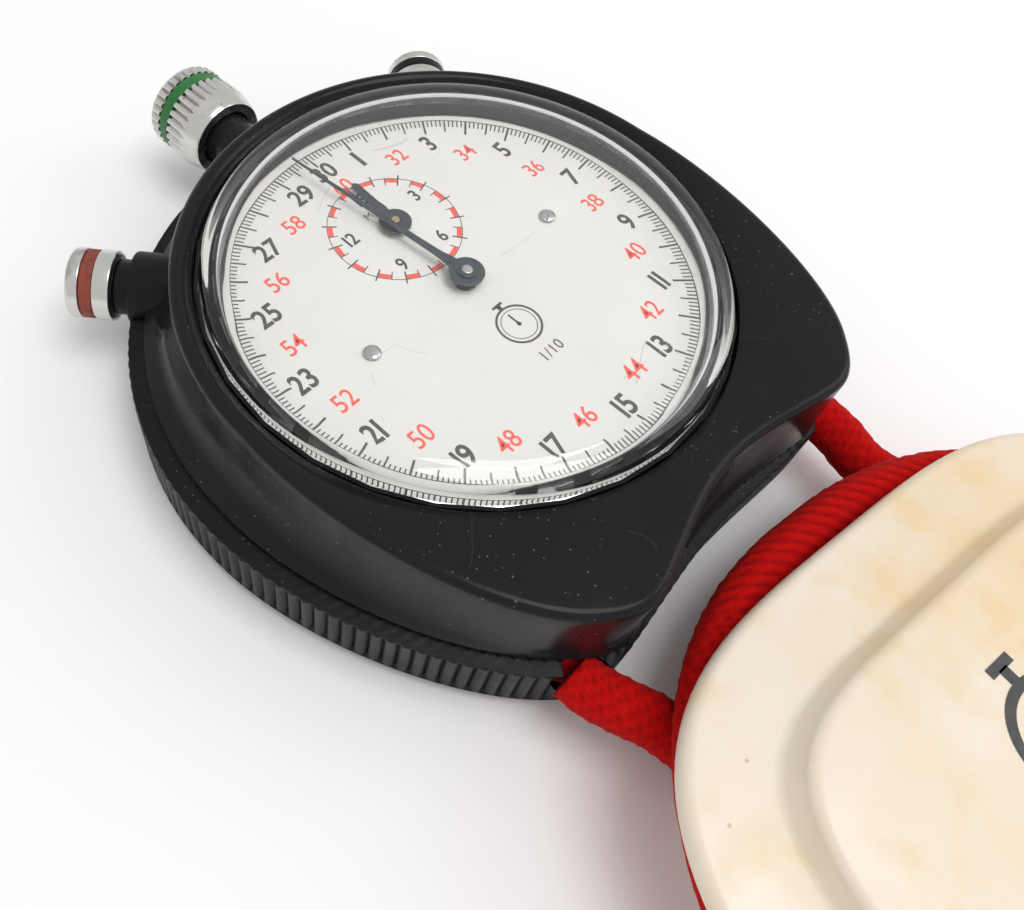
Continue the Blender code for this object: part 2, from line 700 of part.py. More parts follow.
def heart(base, lift, steps=20):
    """A heart cam's outline, lowest at -X."""
    outline = []
    for step in range(steps):
        angle = 2 * math.pi * step / steps - math.pi
        radius = base + lift * (1 - abs(angle) / math.pi)
        outline.append((radius * math.cos(angle), radius * math.sin(angle)))
    return outline


def make_escapement(frames):
    fork = add("pallet_fork", posts([(0, 0, 0.35)], 2.6, 5.9), "steel", frames["pallet"])
    to_wheel = math.atan2(ESCAPE_AT[1] - PALLET_AT[1], ESCAPE_AT[0] - PALLET_AT[0])
    spread = math.radians(62)
    arms = [(2.6, to_wheel + spread), (2.6, to_wheel - spread), (2.4, to_wheel + math.pi)]
    for index, (length, angle) in enumerate(arms):
        tip = (length * math.cos(angle), length * math.sin(angle), 0.3)
        arm = prism(hull([(0, 0, 0.6), tip], 10), 5.2, 5.5)
        combine(fork, "UNION", tool(f"fork_arm_{index}", arm, frames["pallet"]))
    balance = add("balance_wheel", tube(4.5, 5.2, 6.2, 6.8), "brass", frames["balance"])
    spoke = prism([(-4.8, -0.4), (4.8, -0.4), (4.8, 0.4), (-4.8, 0.4)], 6.3, 6.7)
    combine(balance, "UNION", tool("balance_spoke", spoke, frames["balance"]))
    combine(balance, "UNION", tool("balance_staff", posts([(0, 0, 0.35)], 2.6, 10.9), frames["balance"]))
    add("hairspring", ribbon(0.7, 2.9, 3, 7.6, 7.9, 0.12), "steel", frames["balance"])


def make_levers(frames):
    cam = add("sweep_heart_cam", prism(heart(0.9, 1.0), 7.2, 7.7), "steel", frames["sweep"])
    combine(cam, "DIFFERENCE", tool("heart_bore", posts([(0, 0, 0.58)], 7, 8), frames["sweep"]))
    nose = (0.6 - HAMMER_AT[0], 3.3 - HAMMER_AT[1], 0.45)
    hammer = add("reset_hammer", prism(hull([(0, 0, 1.1), nose]), 7.2, 7.7), "steel", frames["hammer"])
    tail = (11.0 - HAMMER_AT[0], 13.1 - HAMMER_AT[1], 0.8)
    lever = prism(hull([(0, 0, 0.9), tail]), 7.25, 7.65)
    combine(hammer, "UNION", tool("hammer_tail", lever, frames["hammer"]))
    combine(hammer, "UNION", tool("hammer_pivot", posts([(0, 0, 0.35)], 6.8, 10.9), frames["hammer"]))
    pivot_x, pivot_y = brake_pivot()
    band = []
    for radius, order in ((17.7, 1), (18.8, -1)):
        for step in range(13)[::order]:
            angle = math.radians(130 + 170 * step / 12)
            band.append((radius * math.cos(angle) - pivot_x, radius * math.sin(angle) - pivot_y))
    add("brake_lever", prism(band, 6.9, 7.2), "steel", frames["brake"])


def brake_pivot():
    angle = math.radians(215)
    return 18.2 * math.cos(angle), 18.2 * math.sin(angle)


# ------------------------------------------------------------- cord and winder

CORD_LEFT = [(-15.95, -28.95, 5.75), (-15.5, -30.2, 5.65), (-14.8, -31.7, 5.3)]
CORD_RIGHT = [(16.05, -28.7, 5.75), (15.85, -30.1, 5.6), (15.5, -32.0, 5.2)]


def make_cord():
    inner = both_ways(channel_path(95), channel_path(103))
    wire("cord_in_case", inner, CORD_R - 0.05, "red_cord")
    wire("cord_left", smooth_route(CORD_LEFT, 2), CORD_R, "red_cord")
    wire("cord_right", smooth_route(CORD_RIGHT, 2), CORD_R, "red_cord")


def make_winder():
    core = superellipse(WINDER_AT, WINDER_CORE, 3.0, WINDER_TURN)
    plate = superellipse(WINDER_AT, WINDER_SIZE, 3.6, WINDER_TURN)
    small = superellipse(WINDER_AT, [size - 0.4 for size in WINDER_SIZE], 3.6, WINDER_TURN)
    foot = superellipse(WINDER_AT, BASE_SIZE, 3.6, WINDER_TURN)
    foot_edge = superellipse(WINDER_AT, [size - 0.4 for size in BASE_SIZE], 3.6, WINDER_TURN)
    raised = superellipse(RAISED_AT, RAISED_SIZE, 5.0, WINDER_TURN)
    raised_foot = superellipse(RAISED_AT, [size + 0.7 for size in RAISED_SIZE], 5.0, WINDER_TURN)
    top = WINDER_PLATE + WINDER_CHANNEL
    rings = [at_height(foot_edge, 0.0), at_height(foot, 0.4)]
    rings += [at_height(foot, 1.7), at_height(foot_edge, WINDER_PLATE)]
    rings += [at_height(core, WINDER_PLATE), at_height(core, top - 0.3)]
    add("winder_base", loft(rings), "white_plastic")
    rings = [at_height(small, top), at_height(plate, top + 0.3), at_height(plate, top + 1.4)]
    rings += [at_height(small, top + 2.0), at_height(raised_foot, top + 2.0)]
    inner = [tuple(spot) for spot in between(raised, core, 0.2)]
    rings += [at_height(raised, WINDER_TOP - 0.4), at_height(inner, WINDER_TOP)]
    add("winder_top", loft(rings), "white_plastic")
    outside = superellipse(WINDING_AT, WINDING_SIZE, 2.4, WINDER_TURN)
    inside = superellipse(WINDER_AT, [size + 0.3 for size in WINDER_CORE], 3.0, WINDER_TURN)
    low, high = WINDER_PLATE + 0.2, top - 0.3
    rings = [at_height(inside, low), at_height(outside, low)]
    rings += [at_height(outside, high), at_height(inside, high)]
    add("cord_winding", loft(rings, closed=True), "red_cord")


def make_movement():
    centres = {
        "barrel": BARREL_AT,
        "crown_wheel": CROWN_WHEEL_AT,
        "click": CLICK_AT,
        "centre": CENTRE_AT,
        "third": THIRD_AT,
        "sweep": SWEEP_AT,
        "escape": ESCAPE_AT,
        "pallet": PALLET_AT,
        "balance": BALANCE_AT,
        "transfer": TRANSFER_AT,
        "minute": MINUTE_AT,
        "hammer": HAMMER_AT,
        "brake": brake_pivot(),
    }
    frames = {name: frame_at(name + "_axis", (*spot, 0.0)) for name, spot in centres.items()}
    make_plates()
    make_winding(frames["barrel"], frames["crown_wheel"], frames["click"])
    make_barrel(frames["barrel"])
    make_train(frames)
    make_escapement(frames)
    make_levers(frames)
    make_hands(frames["sweep"], frames["minute"])


clear_scene()
materials = {name: make_material(name, *values) for name, values in FINISHES.items()}
crown_axis = frame_at("crown_axis", (0, 0, BUTTON_Z), CROWN_AZIMUTH)
stop_axis = frame_at("stop_axis", (0, 0, BUTTON_Z), STOP_AZIMUTH)
reset_axis = frame_at("reset_axis", (0, 0, BUTTON_Z), RESET_AZIMUTH)
make_case(crown_axis, stop_axis, reset_axis)
make_crystal()
make_dial()
make_movement()
make_crown(crown_axis)
make_pusher("stop", stop_axis, "red_band")
make_pusher("reset", reset_axis, "black_plastic")
make_cord()
make_winder()
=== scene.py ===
"""Looks of the mechanical hand stopwatch, its neck cord and its cord winder, built around the CAD part.

Sizes are in millimetres and meshes are scaled to metres when they are made. +Z points from
the back of the case to the crystal and +Y to the crown, as in the CAD part.
"""

import json
import math

import bmesh
import bpy
from mathutils import Matrix, Vector, noise


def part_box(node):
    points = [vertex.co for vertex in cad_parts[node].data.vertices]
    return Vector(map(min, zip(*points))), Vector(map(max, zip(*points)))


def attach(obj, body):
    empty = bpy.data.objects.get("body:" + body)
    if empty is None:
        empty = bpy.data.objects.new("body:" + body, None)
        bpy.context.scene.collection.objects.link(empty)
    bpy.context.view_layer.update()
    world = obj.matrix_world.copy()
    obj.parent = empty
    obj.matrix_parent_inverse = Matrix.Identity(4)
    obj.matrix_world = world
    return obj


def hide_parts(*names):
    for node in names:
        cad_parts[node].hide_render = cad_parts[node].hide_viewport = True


MM = 0.001
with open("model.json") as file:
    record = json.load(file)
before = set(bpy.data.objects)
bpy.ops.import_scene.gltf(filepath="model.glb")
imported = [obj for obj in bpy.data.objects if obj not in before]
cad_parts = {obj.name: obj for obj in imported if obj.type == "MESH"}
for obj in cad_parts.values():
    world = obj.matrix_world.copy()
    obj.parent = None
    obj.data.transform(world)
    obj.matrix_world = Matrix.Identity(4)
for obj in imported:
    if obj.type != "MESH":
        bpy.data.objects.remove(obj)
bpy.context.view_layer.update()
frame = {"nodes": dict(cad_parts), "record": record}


def span(node):
    """A CAD node's lowest and highest corner, in millimetres."""
    low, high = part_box(node)
    return low / MM, high / MM


# Measured on the CAD part's nodes
DIAL_TOP = span("dial")[1].z
DIAL_LOW = span("dial")[0].z
DIAL_R = span("dial")[1].x
CRYSTAL_TOP = span("crystal")[1].z
CRYSTAL_R = span("crystal")[1].x
RIM_Z = span("front_case")[1].z
LIP_LOW = span("front_case")[0].z
RING_LOW, RING_HIGH = span("dial_ring")[0].z, span("dial_ring")[1].z
CASE_R = span("back_case")[1].x
SCREW_X = span("dial_screw_right")[0].x / 2 + span("dial_screw_right")[1].x / 2

# Radii and heights inside the shells, and the buttons' and hands' places
CAVITY_R = 20.9
SEAT_R = 21.9
LIP_R = 22.1
LEDGE_Z = 13.3
RIM_R = 23.7
SEAM_R = 26.5
SEAM_Z = 7.5
FLOOR_Z = 1.8
BUTTON_Z = 7.1
MINUTE_PIVOT = (0.0, 8.1)
SWEEP_TURN = 5.3
MINUTE_TURN = -4.0
SWEEP_LEVEL = (13.12, 13.33)
MINUTE_LEVEL = (12.57, 12.78)
RIB_COUNT = 160
RIB_DEPTH = 0.42
CROWN_R = 4.3
CROWN_LOW = 30.7
CROWN_GROOVE = (34.85, 36.15)
PRINT = 0.012

# Cord and winder
CORD_R = 2.0
WINDER_TURN = -9.8
WINDER_AT = (-1.9, -63.3)
WINDER_SIZE = (26.9, 30.0)
BASE_SIZE = (23.0, 26.5)
WINDER_CORE = (16.0, 20.0)
WINDING_AT = (-1.3, -62.6)
WINDING_SIZE = (28.0, 32.6)
RAISED_AT = (-1.2, -64.2)
RAISED_SIZE = (20.3, 24.0)
BASE_TOP = 2.0
TOP_LOW = span("winder_top")[0].z
WINDER_TOP = span("winder_top")[1].z


# ---- shader helpers


def shader(name):
    """A new material, its node tree and its Principled shader."""
    made = bpy.data.materials.new(name)
    made.use_nodes = True
    return made, made.node_tree, made.node_tree.nodes["Principled BSDF"]


def node(tree, kind, inputs=None, **settings):
    """Adds a shader node. Inputs are constants or the sockets of other nodes."""
    made = tree.nodes.new("ShaderNode" + kind)
    for key, value in settings.items():
        setattr(made, key, value)
    for key, value in (inputs or {}).items():
        feed(tree, made.inputs[key], value)
    return made


def feed(tree, socket, value):
    if isinstance(value, bpy.types.NodeSocket):
        tree.links.new(value, socket)
    else:
        socket.default_value = value


def place_socket(tree):
    """The point being shaded, in the row frame."""
    return node(tree, "TexCoord").outputs["Object"]


def noise_of(tree, scale, detail=3.0, stretch=None):
    """Soft noise of so many blotches a metre, as a 0-1 value."""
    where = place_socket(tree)
    if stretch:
        where = node(tree, "VectorMath", {0: where, 1: stretch}, operation="MULTIPLY").outputs[0]
    return node(tree, "TexNoise", {"Vector": where, "Scale": scale, "Detail": detail}).outputs["Fac"]


def ranged(tree, value, low, high, to_low, to_high):
    made = node(tree, "MapRange", {0: value, 1: low, 2: high, 3: to_low, 4: to_high})
    return made.outputs[0]


def math_of(tree, operation, first, second):
    return node(tree, "Math", {0: first, 1: second}, operation=operation).outputs[0]


def blend_colour(tree, share, first, second):
    made = node(tree, "Mix", data_type="RGBA")
    feed(tree, made.inputs[0], share)
    feed(tree, made.inputs[6], colour(first))
    feed(tree, made.inputs[7], colour(second))
    return made.outputs[2]


def uneven(tree, scale, detail, low, high):
    """A value that wanders between two limits over the surface."""
    return ranged(tree, noise_of(tree, scale, detail), 0.3, 0.7, low, high)


def scaled(tone, share):
    return tuple(share * channel for channel in tone)


def tint(surface, value):
    surface.id_data.links.new(value, surface.inputs["Base Color"])


def roughen(surface, value):
    surface.id_data.links.new(value, surface.inputs["Roughness"])


def colour(value):
    return (*value, 1.0) if isinstance(value, tuple) and len(value) == 3 else value


def specks(tree, scale, size, rarity):
    """Small round spots, one in some of the cells of so many cells a metre."""
    cells = node(tree, "TexVoronoi", {"Vector": place_socket(tree), "Scale": scale})
    chance = node(tree, "SeparateColor", {0: cells.outputs["Color"]}).outputs[0]
    spot = math_of(tree, "LESS_THAN", cells.outputs["Distance"], size)
    return math_of(tree, "MULTIPLY", spot, math_of(tree, "GREATER_THAN", chance, rarity))


def hairlines(tree, scale, width, amount):
    """Long thin scratches that wander and fade in and out."""
    bent = node(tree, "TexNoise", {"Vector": place_socket(tree), "Scale": scale * 1.7, "Detail": 1.0})
    shift = {0: bent.outputs["Color"], 1: (0.004, 0.004, 0.004)}
    where = node(tree, "VectorMath", shift, operation="MULTIPLY")
    where = node(tree, "VectorMath", {0: where.outputs[0], 1: place_socket(tree)}, operation="ADD")
    inputs = {"Vector": where.outputs[0], "Scale": scale}
    cells = node(tree, "TexVoronoi", inputs, feature="DISTANCE_TO_EDGE")
    line = math_of(tree, "LESS_THAN", cells.outputs["Distance"], width)
    shown = math_of(tree, "GREATER_THAN", noise_of(tree, scale * 1.3, 1.0), 1.0 - amount)
    return math_of(tree, "MULTIPLY", line, shown)


def bump(tree, surface, height, distance, strength=1.0, before=None):
    made = node(tree, "Bump", {"Height": height, "Distance": distance, "Strength": strength})
    if before:
        tree.links.new(before, made.inputs["Normal"])
    tree.links.new(made.outputs[0], surface.inputs["Normal"])
    return made.outputs[0]


# ---- materials


def moulded_black(name, tone, roughness, dust):
    """Moulded plastic with dust specks, fine hairlines and a faint unevenness."""
    made, tree, surface = shader(name)
    dirt = specks(tree, 900.0, 0.09, 1.0 - dust)
    fine = specks(tree, 2340.0, 0.15, 1.0 - dust)
    patches = ranged(tree, noise_of(tree, 90.0, 3.0), 0.45, 0.62, 0.0, 1.0)
    dirt = math_of(tree, "MULTIPLY", math_of(tree, "MAXIMUM", dirt, fine), patches)
    lines = hairlines(tree, 90.0, 0.003, 0.42)
    marks = math_of(tree, "MAXIMUM", dirt, math_of(tree, "MULTIPLY", lines, 0.1))
    pale = tuple(0.10 + channel for channel in tone)
    base = blend_colour(tree, noise_of(tree, 140.0), tone, scaled(tone, 1.7))
    tint(surface, blend_colour(tree, marks, base, pale))
    worn = uneven(tree, 260.0, 4.0, roughness - 0.05, roughness + 0.09)
    worn = math_of(tree, "ADD", worn, math_of(tree, "MULTIPLY", marks, 0.35))
    roughen(surface, worn)
    surface.inputs["Specular IOR Level"].default_value = 0.14
    bump(tree, surface, noise_of(tree, 1500.0, 2.0), 0.00002, 0.35)
    return made


def polished_metal(name, tone, roughness, grime):
    """Turned and polished metal with dulled, dirty spots."""
    made, tree, surface = shader(name)
    dirt = ranged(tree, noise_of(tree, 420.0, 5.0), 0.55, 0.72, 0.0, grime)
    dirt = math_of(tree, "MAXIMUM", dirt, math_of(tree, "MULTIPLY", specks(tree, 1500.0, 0.2, 0.93), grime))
    dark = scaled(tone, 0.25)
    tint(surface, blend_colour(tree, dirt, tone, dark))
    worn = uneven(tree, 900.0, 4.0, roughness - 0.06, roughness + 0.1)
    roughen(surface, worn)
    surface.inputs["Metallic"].default_value = 1.0
    bump(tree, surface, noise_of(tree, 2600.0, 2.0), 0.00001, 0.3)
    return made


def brushed_metal(name, tone, roughness):
    """Movement metal with a straight brushed grain."""
    made, tree, surface = shader(name)
    grain = noise_of(tree, 2200.0, 2.0, (1.0, 0.06, 0.3))
    dark = scaled(tone, 0.72)
    tint(surface, blend_colour(tree, grain, dark, tone))
    roughen(surface, ranged(tree, grain, 0.3, 0.7, roughness, roughness + 0.15))
    surface.inputs["Metallic"].default_value = 1.0
    bump(tree, surface, grain, 0.00001, 0.4)
    return made


def painted(name, tone, wear, under, roughness=0.45):
    """A painted ring, rubbed and stained."""
    made, tree, surface = shader(name)
    rubbed = ranged(tree, noise_of(tree, 700.0, 6.0), 0.62 - wear, 0.8 - wear, 0.0, 1.0)
    mottled = blend_colour(tree, noise_of(tree, 260.0, 4.0), tone, scaled(tone, 0.55))
    tint(surface, blend_colour(tree, rubbed, mottled, under))
    roughen(surface, ranged(tree, rubbed, 0.0, 1.0, roughness, roughness + 0.25))
    bump(tree, surface, noise_of(tree, 1200.0, 4.0), 0.00005, 0.5)
    return made


def silver_dial():
    """The dial's silver-white lacquer, with a fine grain, faint stains and hairs."""
    made, tree, surface = shader("dial_lacquer")
    pale, cool, stain = (0.64, 0.63, 0.60), (0.58, 0.57, 0.548), (0.36, 0.34, 0.31)
    ground = blend_colour(tree, noise_of(tree, 130.0, 3.0), pale, cool)
    grain = blend_colour(tree, uneven(tree, 5200.0, 1.0, 0.0, 0.12), ground, cool)
    marks = math_of(tree, "MAXIMUM", specks(tree, 620.0, 0.05, 0.9), hairlines(tree, 75.0, 0.0035, 0.4))
    tint(surface, blend_colour(tree, math_of(tree, "MULTIPLY", marks, 0.35), grain, stain))
    roughen(surface, uneven(tree, 900.0, 3.0, 0.5, 0.65))
    surface.inputs["Specular IOR Level"].default_value = 0.15
    bump(tree, surface, noise_of(tree, 3800.0, 1.0), 0.00001, 0.3)
    return made


def ink(name, tone):
    """Printed ink, a little uneven in density."""
    made, tree, surface = shader(name)
    thin = tuple(channel + 0.045 for channel in tone)
    tint(surface, blend_colour(tree, noise_of(tree, 1800.0, 3.0), tone, thin))
    roughen(surface, uneven(tree, 2500.0, 3.0, 0.4, 0.6))
    return made


def clear_acrylic():
    """The crystal: clear, with fine scratches, letting lamp light straight through to the dial."""
    made, tree, surface = shader("clear_acrylic")
    surface.inputs["Base Color"].default_value = (1.0, 1.0, 1.0, 1.0)
    surface.inputs["Transmission Weight"].default_value = 1.0
    surface.inputs["IOR"].default_value = 1.49
    scratches = hairlines(tree, 150.0, 0.0015, 0.36)
    roughen(surface, ranged(tree, scratches, 0.0, 1.0, 0.02, 0.12))
    bump(tree, surface, math_of(tree, "SUBTRACT", 1.0, scratches), 0.000003, 0.12)
    clear = node(tree, "BsdfTransparent")
    pick = node(tree, "MixShader", {0: node(tree, "LightPath").outputs["Is Shadow Ray"]})
    tree.links.new(surface.outputs[0], pick.inputs[1])
    tree.links.new(clear.outputs[0], pick.inputs[2])
    tree.links.new(pick.outputs[0], tree.nodes["Material Output"].inputs["Surface"])
    return made


def braided_red():
    """Braided cotton cord: bright yarn tops, a painted shade of deep red in the gaps between them, and a
    soft fuzz.
    """
    made, tree, surface = shader("braided_cord")
    weave = node(tree, "Attribute", attribute_name="weave").outputs["Fac"]
    fibre = noise_of(tree, 5200.0, 4.0)
    # Painted shade: by yarn height, the colour runs from the cord's red on the yarn tops to a deep red in
    # the gaps between yarns.
    lit = math_of(tree, "MULTIPLY", weave, ranged(tree, fibre, 0.3, 0.7, 0.72, 1.12))
    faded = blend_colour(tree, noise_of(tree, 120.0, 3.0), (0.70, 0.004, 0.002), (0.56, 0.003, 0.002))
    tint(surface, blend_colour(tree, lit, (0.26, 0.0, 0.001), faded))
    surface.inputs["Roughness"].default_value = 0.92
    surface.inputs["Sheen Weight"].default_value = 0.1
    surface.inputs["Sheen Roughness"].default_value = 0.4
    surface.inputs["Sheen Tint"].default_value = (1.0, 0.25, 0.2, 1.0)
    surface.inputs["Specular IOR Level"].default_value = 0.15
    first = bump(tree, surface, fibre, 0.0001, 0.7)
    bump(tree, surface, noise_of(tree, 11000.0, 2.0), 0.00005, 0.6, first)
    return made


def aged_ivory():
    """Ivory plastic that has yellowed in cloudy patches."""
    made, tree, surface = shader("aged_ivory")
    clouds = ranged(tree, noise_of(tree, 60.0, 6.0), 0.44, 0.66, 0.0, 0.85)
    flecks = ranged(tree, noise_of(tree, 260.0, 6.0), 0.52, 0.7, 0.0, 0.5)
    yellowed = math_of(tree, "MULTIPLY", math_of(tree, "ADD", clouds, flecks), 0.7)
    aged = blend_colour(tree, yellowed, (0.80, 0.71, 0.60), (0.76, 0.55, 0.27))
    marks = math_of(tree, "MULTIPLY", specks(tree, 520.0, 0.07, 0.93), 0.5)
    tint(surface, blend_colour(tree, marks, aged, (0.35, 0.24, 0.13)))
    roughen(surface, uneven(tree, 300.0, 4.0, 0.28, 0.46))
    surface.inputs["Subsurface Weight"].default_value = 0.08
    surface.inputs["Subsurface Scale"].default_value = 0.001
    bump(tree, surface, noise_of(tree, 900.0, 3.0), 0.00004, 0.3)
    return made


def pale_floor():
    made, tree, surface = shader("pale_floor")
    tint(surface, blend_colour(tree, noise_of(tree, 8.0), (0.90, 0.90, 0.905), (0.93, 0.93, 0.935)))
    surface.inputs["Roughness"].default_value = 0.75
    return made


# ---- mesh helpers


def skin(rings, closed=False, capped=True):
    """Faces over a row of rings of equal count. A ring of one point closes that end."""
    bm = bmesh.new()
    loops = [[bm.verts.new(point) for point in ring] for ring in rings]
    pairs = list(zip(loops, loops[1:]))
    if closed:
        pairs.append((loops[-1], loops[0]))
    for low, high in pairs:
        count = max(len(low), len(high))
        for step in range(count):
            after = (step + 1) % count
            corners = [low[step % len(low)], low[after % len(low)]]
            corners += [high[after % len(high)], high[step % len(high)]]
            bm.faces.new(list(dict.fromkeys(corners)))
    if capped and not closed:
        for end in (loops[0], loops[-1]):
            if len(end) > 2:
                bm.faces.new(end)
    return bm


def circle(radius, height, sides):
    if radius == 0.0:
        return [(0.0, 0.0, height)]
    angles = [2 * math.pi * step / sides for step in range(sides)]
    return [(radius * math.cos(angle), radius * math.sin(angle), height) for angle in angles]


def turned(profile, sides=96, closed=False):
    return skin([circle(radius, height, sides) for radius, height in profile], closed)


def rounded(profile, radius, steps=4, closed=False):
    """The profile with each corner drawn as a small curve."""
    count = len(profile)
    spots = [Vector(point) for point in profile]
    row = [] if closed else [profile[0]]
    for index in range(0 if closed else 1, count if closed else count - 1):
        before, corner, after = spots[index - 1], spots[index], spots[(index + 1) % count]
        reach = min(radius, (before - corner).length * 0.45, (after - corner).length * 0.45)
        start = corner + (before - corner).normalized() * reach
        end = corner + (after - corner).normalized() * reach
        for step in range(steps + 1):
            share = step / steps
            row.append(tuple(start.lerp(corner, share).lerp(corner.lerp(end, share), share)))
    return row if closed else row + [profile[-1]]


def bezier(start, first, second, end, steps):
    """Points along a cubic curve, without its end."""
    row = []
    for step in range(steps):
        t = step / steps
        weights = ((1 - t) ** 3, 3 * t * (1 - t) ** 2, 3 * t * t * (1 - t), t**3)
        corners = (start, first, second, end)
        row.append(tuple(sum(w * c[axis] for w, c in zip(weights, corners)) for axis in (0, 1)))
    return row


def smooth_route(points, steps):
    """Catmull-Rom points through a given route."""
    points = [Vector(point) for point in points]
    ends = [2 * points[0] - points[1], *points, 2 * points[-1] - points[-2]]
    row = []
    for index in range(len(points) - 1):
        a, b, c, d = ends[index : index + 4]
        for step in range(steps):
            t = step / steps
            mix = 2 * b + (c - a) * t + (2 * a - 5 * b + 4 * c - d) * t * t
            row.append((mix + (3 * b - a - 3 * c + d) * t**3) / 2)
    return row + [points[-1]]


def even_points(outline, count):
    """The outline walked in equal steps, starting from its first point."""
    spots = [Vector(point) for point in outline] + [Vector(outline[0])]
    lengths = [(b - a).length for a, b in zip(spots, spots[1:])]
    step = sum(lengths) / count
    row, index, walked = [], 0, 0.0
    for number in range(count):
        target = number * step
        while walked + lengths[index] < target and index < len(lengths) - 1:
            walked += lengths[index]
            index += 1
        share = (target - walked) / lengths[index]
        row.append(tuple(spots[index].lerp(spots[index + 1], share)))
    return row


def superellipse_point(centre, half_sizes, exponent, angle):
    cosine, sine = math.cos(angle), math.sin(angle)
    u = half_sizes[0] * math.copysign(abs(cosine) ** (2 / exponent), cosine)
    v = half_sizes[1] * math.copysign(abs(sine) ** (2 / exponent), sine)
    return Vector(centre) + Matrix.Rotation(math.radians(WINDER_TURN), 2) @ Vector((u, v))


def superellipse(centre, half_sizes, exponent, inset=0.0):
    sizes = [size - inset for size in half_sizes]
    angles = [2 * math.pi * step / 720 for step in range(720)]
    outline = [tuple(superellipse_point(centre, sizes, exponent, angle)) for angle in angles]
    return even_points(outline, 180)


def at_height(outline, height):
    return [(x, y, height) for x, y in outline]


def between(first, second, share):
    return [(a[0] + (b[0] - a[0]) * share, a[1] + (b[1] - a[1]) * share) for a, b in zip(first, second)]


def pulled_in(outline, inset):
    """The outline moved inwards by the inset, square to itself."""
    row = []
    count = len(outline)
    for index, point in enumerate(outline):
        ahead = Vector(outline[(index + 1) % count]) - Vector(outline[index - 1])
        inwards = Vector((-ahead.y, ahead.x)).normalized()
        depth = inset[index] if isinstance(inset, list) else inset
        row.append(tuple(Vector(point) + inwards * depth))
    return row


def radial_frame(azimuth):
    """Where a button's own Z runs outwards along the azimuth, from the case's middle."""
    turn = Matrix.Rotation(math.radians(azimuth), 4, "Z") @ Matrix.Rotation(math.radians(90), 4, "Y")
    return Matrix.Translation((0, 0, BUTTON_Z)) @ turn


def mesh_piece(name, bm, finish, matrix=None, sharp=40):
    if matrix:
        bmesh.ops.transform(bm, matrix=matrix, verts=bm.verts)
    bmesh.ops.scale(bm, vec=(MM, MM, MM), verts=bm.verts)
    bmesh.ops.recalc_face_normals(bm, faces=bm.faces)
    mesh = bpy.data.meshes.new(name)
    bm.to_mesh(mesh)
    bm.free()
    if finish:
        mesh.materials.append(finish)
    mesh.shade_smooth()
    mesh.set_sharp_from_angle(angle=math.radians(sharp))
    made = bpy.data.objects.new(name, mesh)
    bpy.context.scene.collection.objects.link(made)
    return made


def ring_piece(name, profile, finish, place, bend, sides, steps=3):
    """A turned ring whose profile corners are softened."""
    return mesh_piece(name, turned(rounded(profile, bend, steps, True), sides, True), finish, place)


def cut(obj, *cutters):
    """Takes the cutters out of the object, then removes them."""
    for cutter in cutters:
        change = obj.modifiers.new(cutter.name, "BOOLEAN")
        change.operation = "DIFFERENCE"
        change.solver = "EXACT"
        change.object = cutter
    graph = bpy.context.evaluated_depsgraph_get()
    solid = bpy.data.meshes.new_from_object(obj.evaluated_get(graph))
    obj.modifiers.clear()
    obj.data = solid
    solid.shade_smooth()
    solid.set_sharp_from_angle(angle=math.radians(40))
    for cutter in cutters:
        bpy.data.objects.remove(cutter)
    return obj


def settle(obj, body, slot, *nodes):
    """Gives the piece its body and hides the CAD nodes that it stands for; its finish slot is not used."""
    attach(obj, body)
    if nodes:
        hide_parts(*nodes)
    return obj


def joined(bms):
    """One mesh holding them all."""
    whole = bmesh.new()
    for bm in bms:
        part = bpy.data.meshes.new("part")
        bm.to_mesh(part)
        bm.free()
        whole.from_mesh(part)
        bpy.data.meshes.remove(part)
    return whole


# ---- camera and light


def set_camera():
    """A close view from above, on the left of the case."""
    camera = bpy.data.cameras.new("camera")
    camera.sensor_width = 36.0
    camera.lens = 33.24
    camera.shift_x = 0.109
    camera.shift_y = -0.083
    camera.clip_start = 0.002
    obj = bpy.data.objects.new("camera", camera)
    place = Vector((-42.6, -28.2, 72.0))
    target = Vector((-10.0, -2.35, 12.0))
    look = (target - place).to_track_quat("-Z", "Y").to_matrix().to_4x4()
    roll = Matrix.Rotation(math.radians(7.16), 4, "Z")
    obj.matrix_world = Matrix.Translation(place * MM) @ look @ roll
    bpy.context.scene.collection.objects.link(obj)
    bpy.context.scene.camera = obj


def set_light():
    """Even room light and two soft lamps, placed in metres."""
    world = bpy.data.worlds.new("soft_room")
    world.use_nodes = True
    world.node_tree.nodes["Background"].inputs[0].default_value = (1.0, 0.99, 0.975, 1.0)
    world.node_tree.nodes["Background"].inputs[1].default_value = 0.72
    bpy.context.scene.world = world
    key = ("key_softbox", (0.06, -0.20, 0.74), 0.40, 2.3)
    boxes = (key, ("side_softbox", (0.42, -0.30, 0.36), 0.3, 0.5))
    for name, place, size, power in boxes:
        lamp = bpy.data.lights.new(name, "AREA")
        lamp.size = size
        lamp.energy = power
        obj = bpy.data.objects.new(name, lamp)
        aim = Vector(place).to_track_quat("Z", "Y").to_matrix().to_4x4()
        obj.matrix_world = Matrix.Translation(place) @ aim
        bpy.context.scene.collection.objects.link(obj)
    scene = bpy.context.scene
    scene.view_settings.view_transform = "Standard"
    scene.view_settings.look = "None"


def make_floor():
    bm = bmesh.new()
    bmesh.ops.create_grid(bm, x_segments=4, y_segments=4, size=2500)
    floor = mesh_piece("floor", bm, pale_floor(), Matrix.Translation((0, 0, -0.02)))


# ---- cord

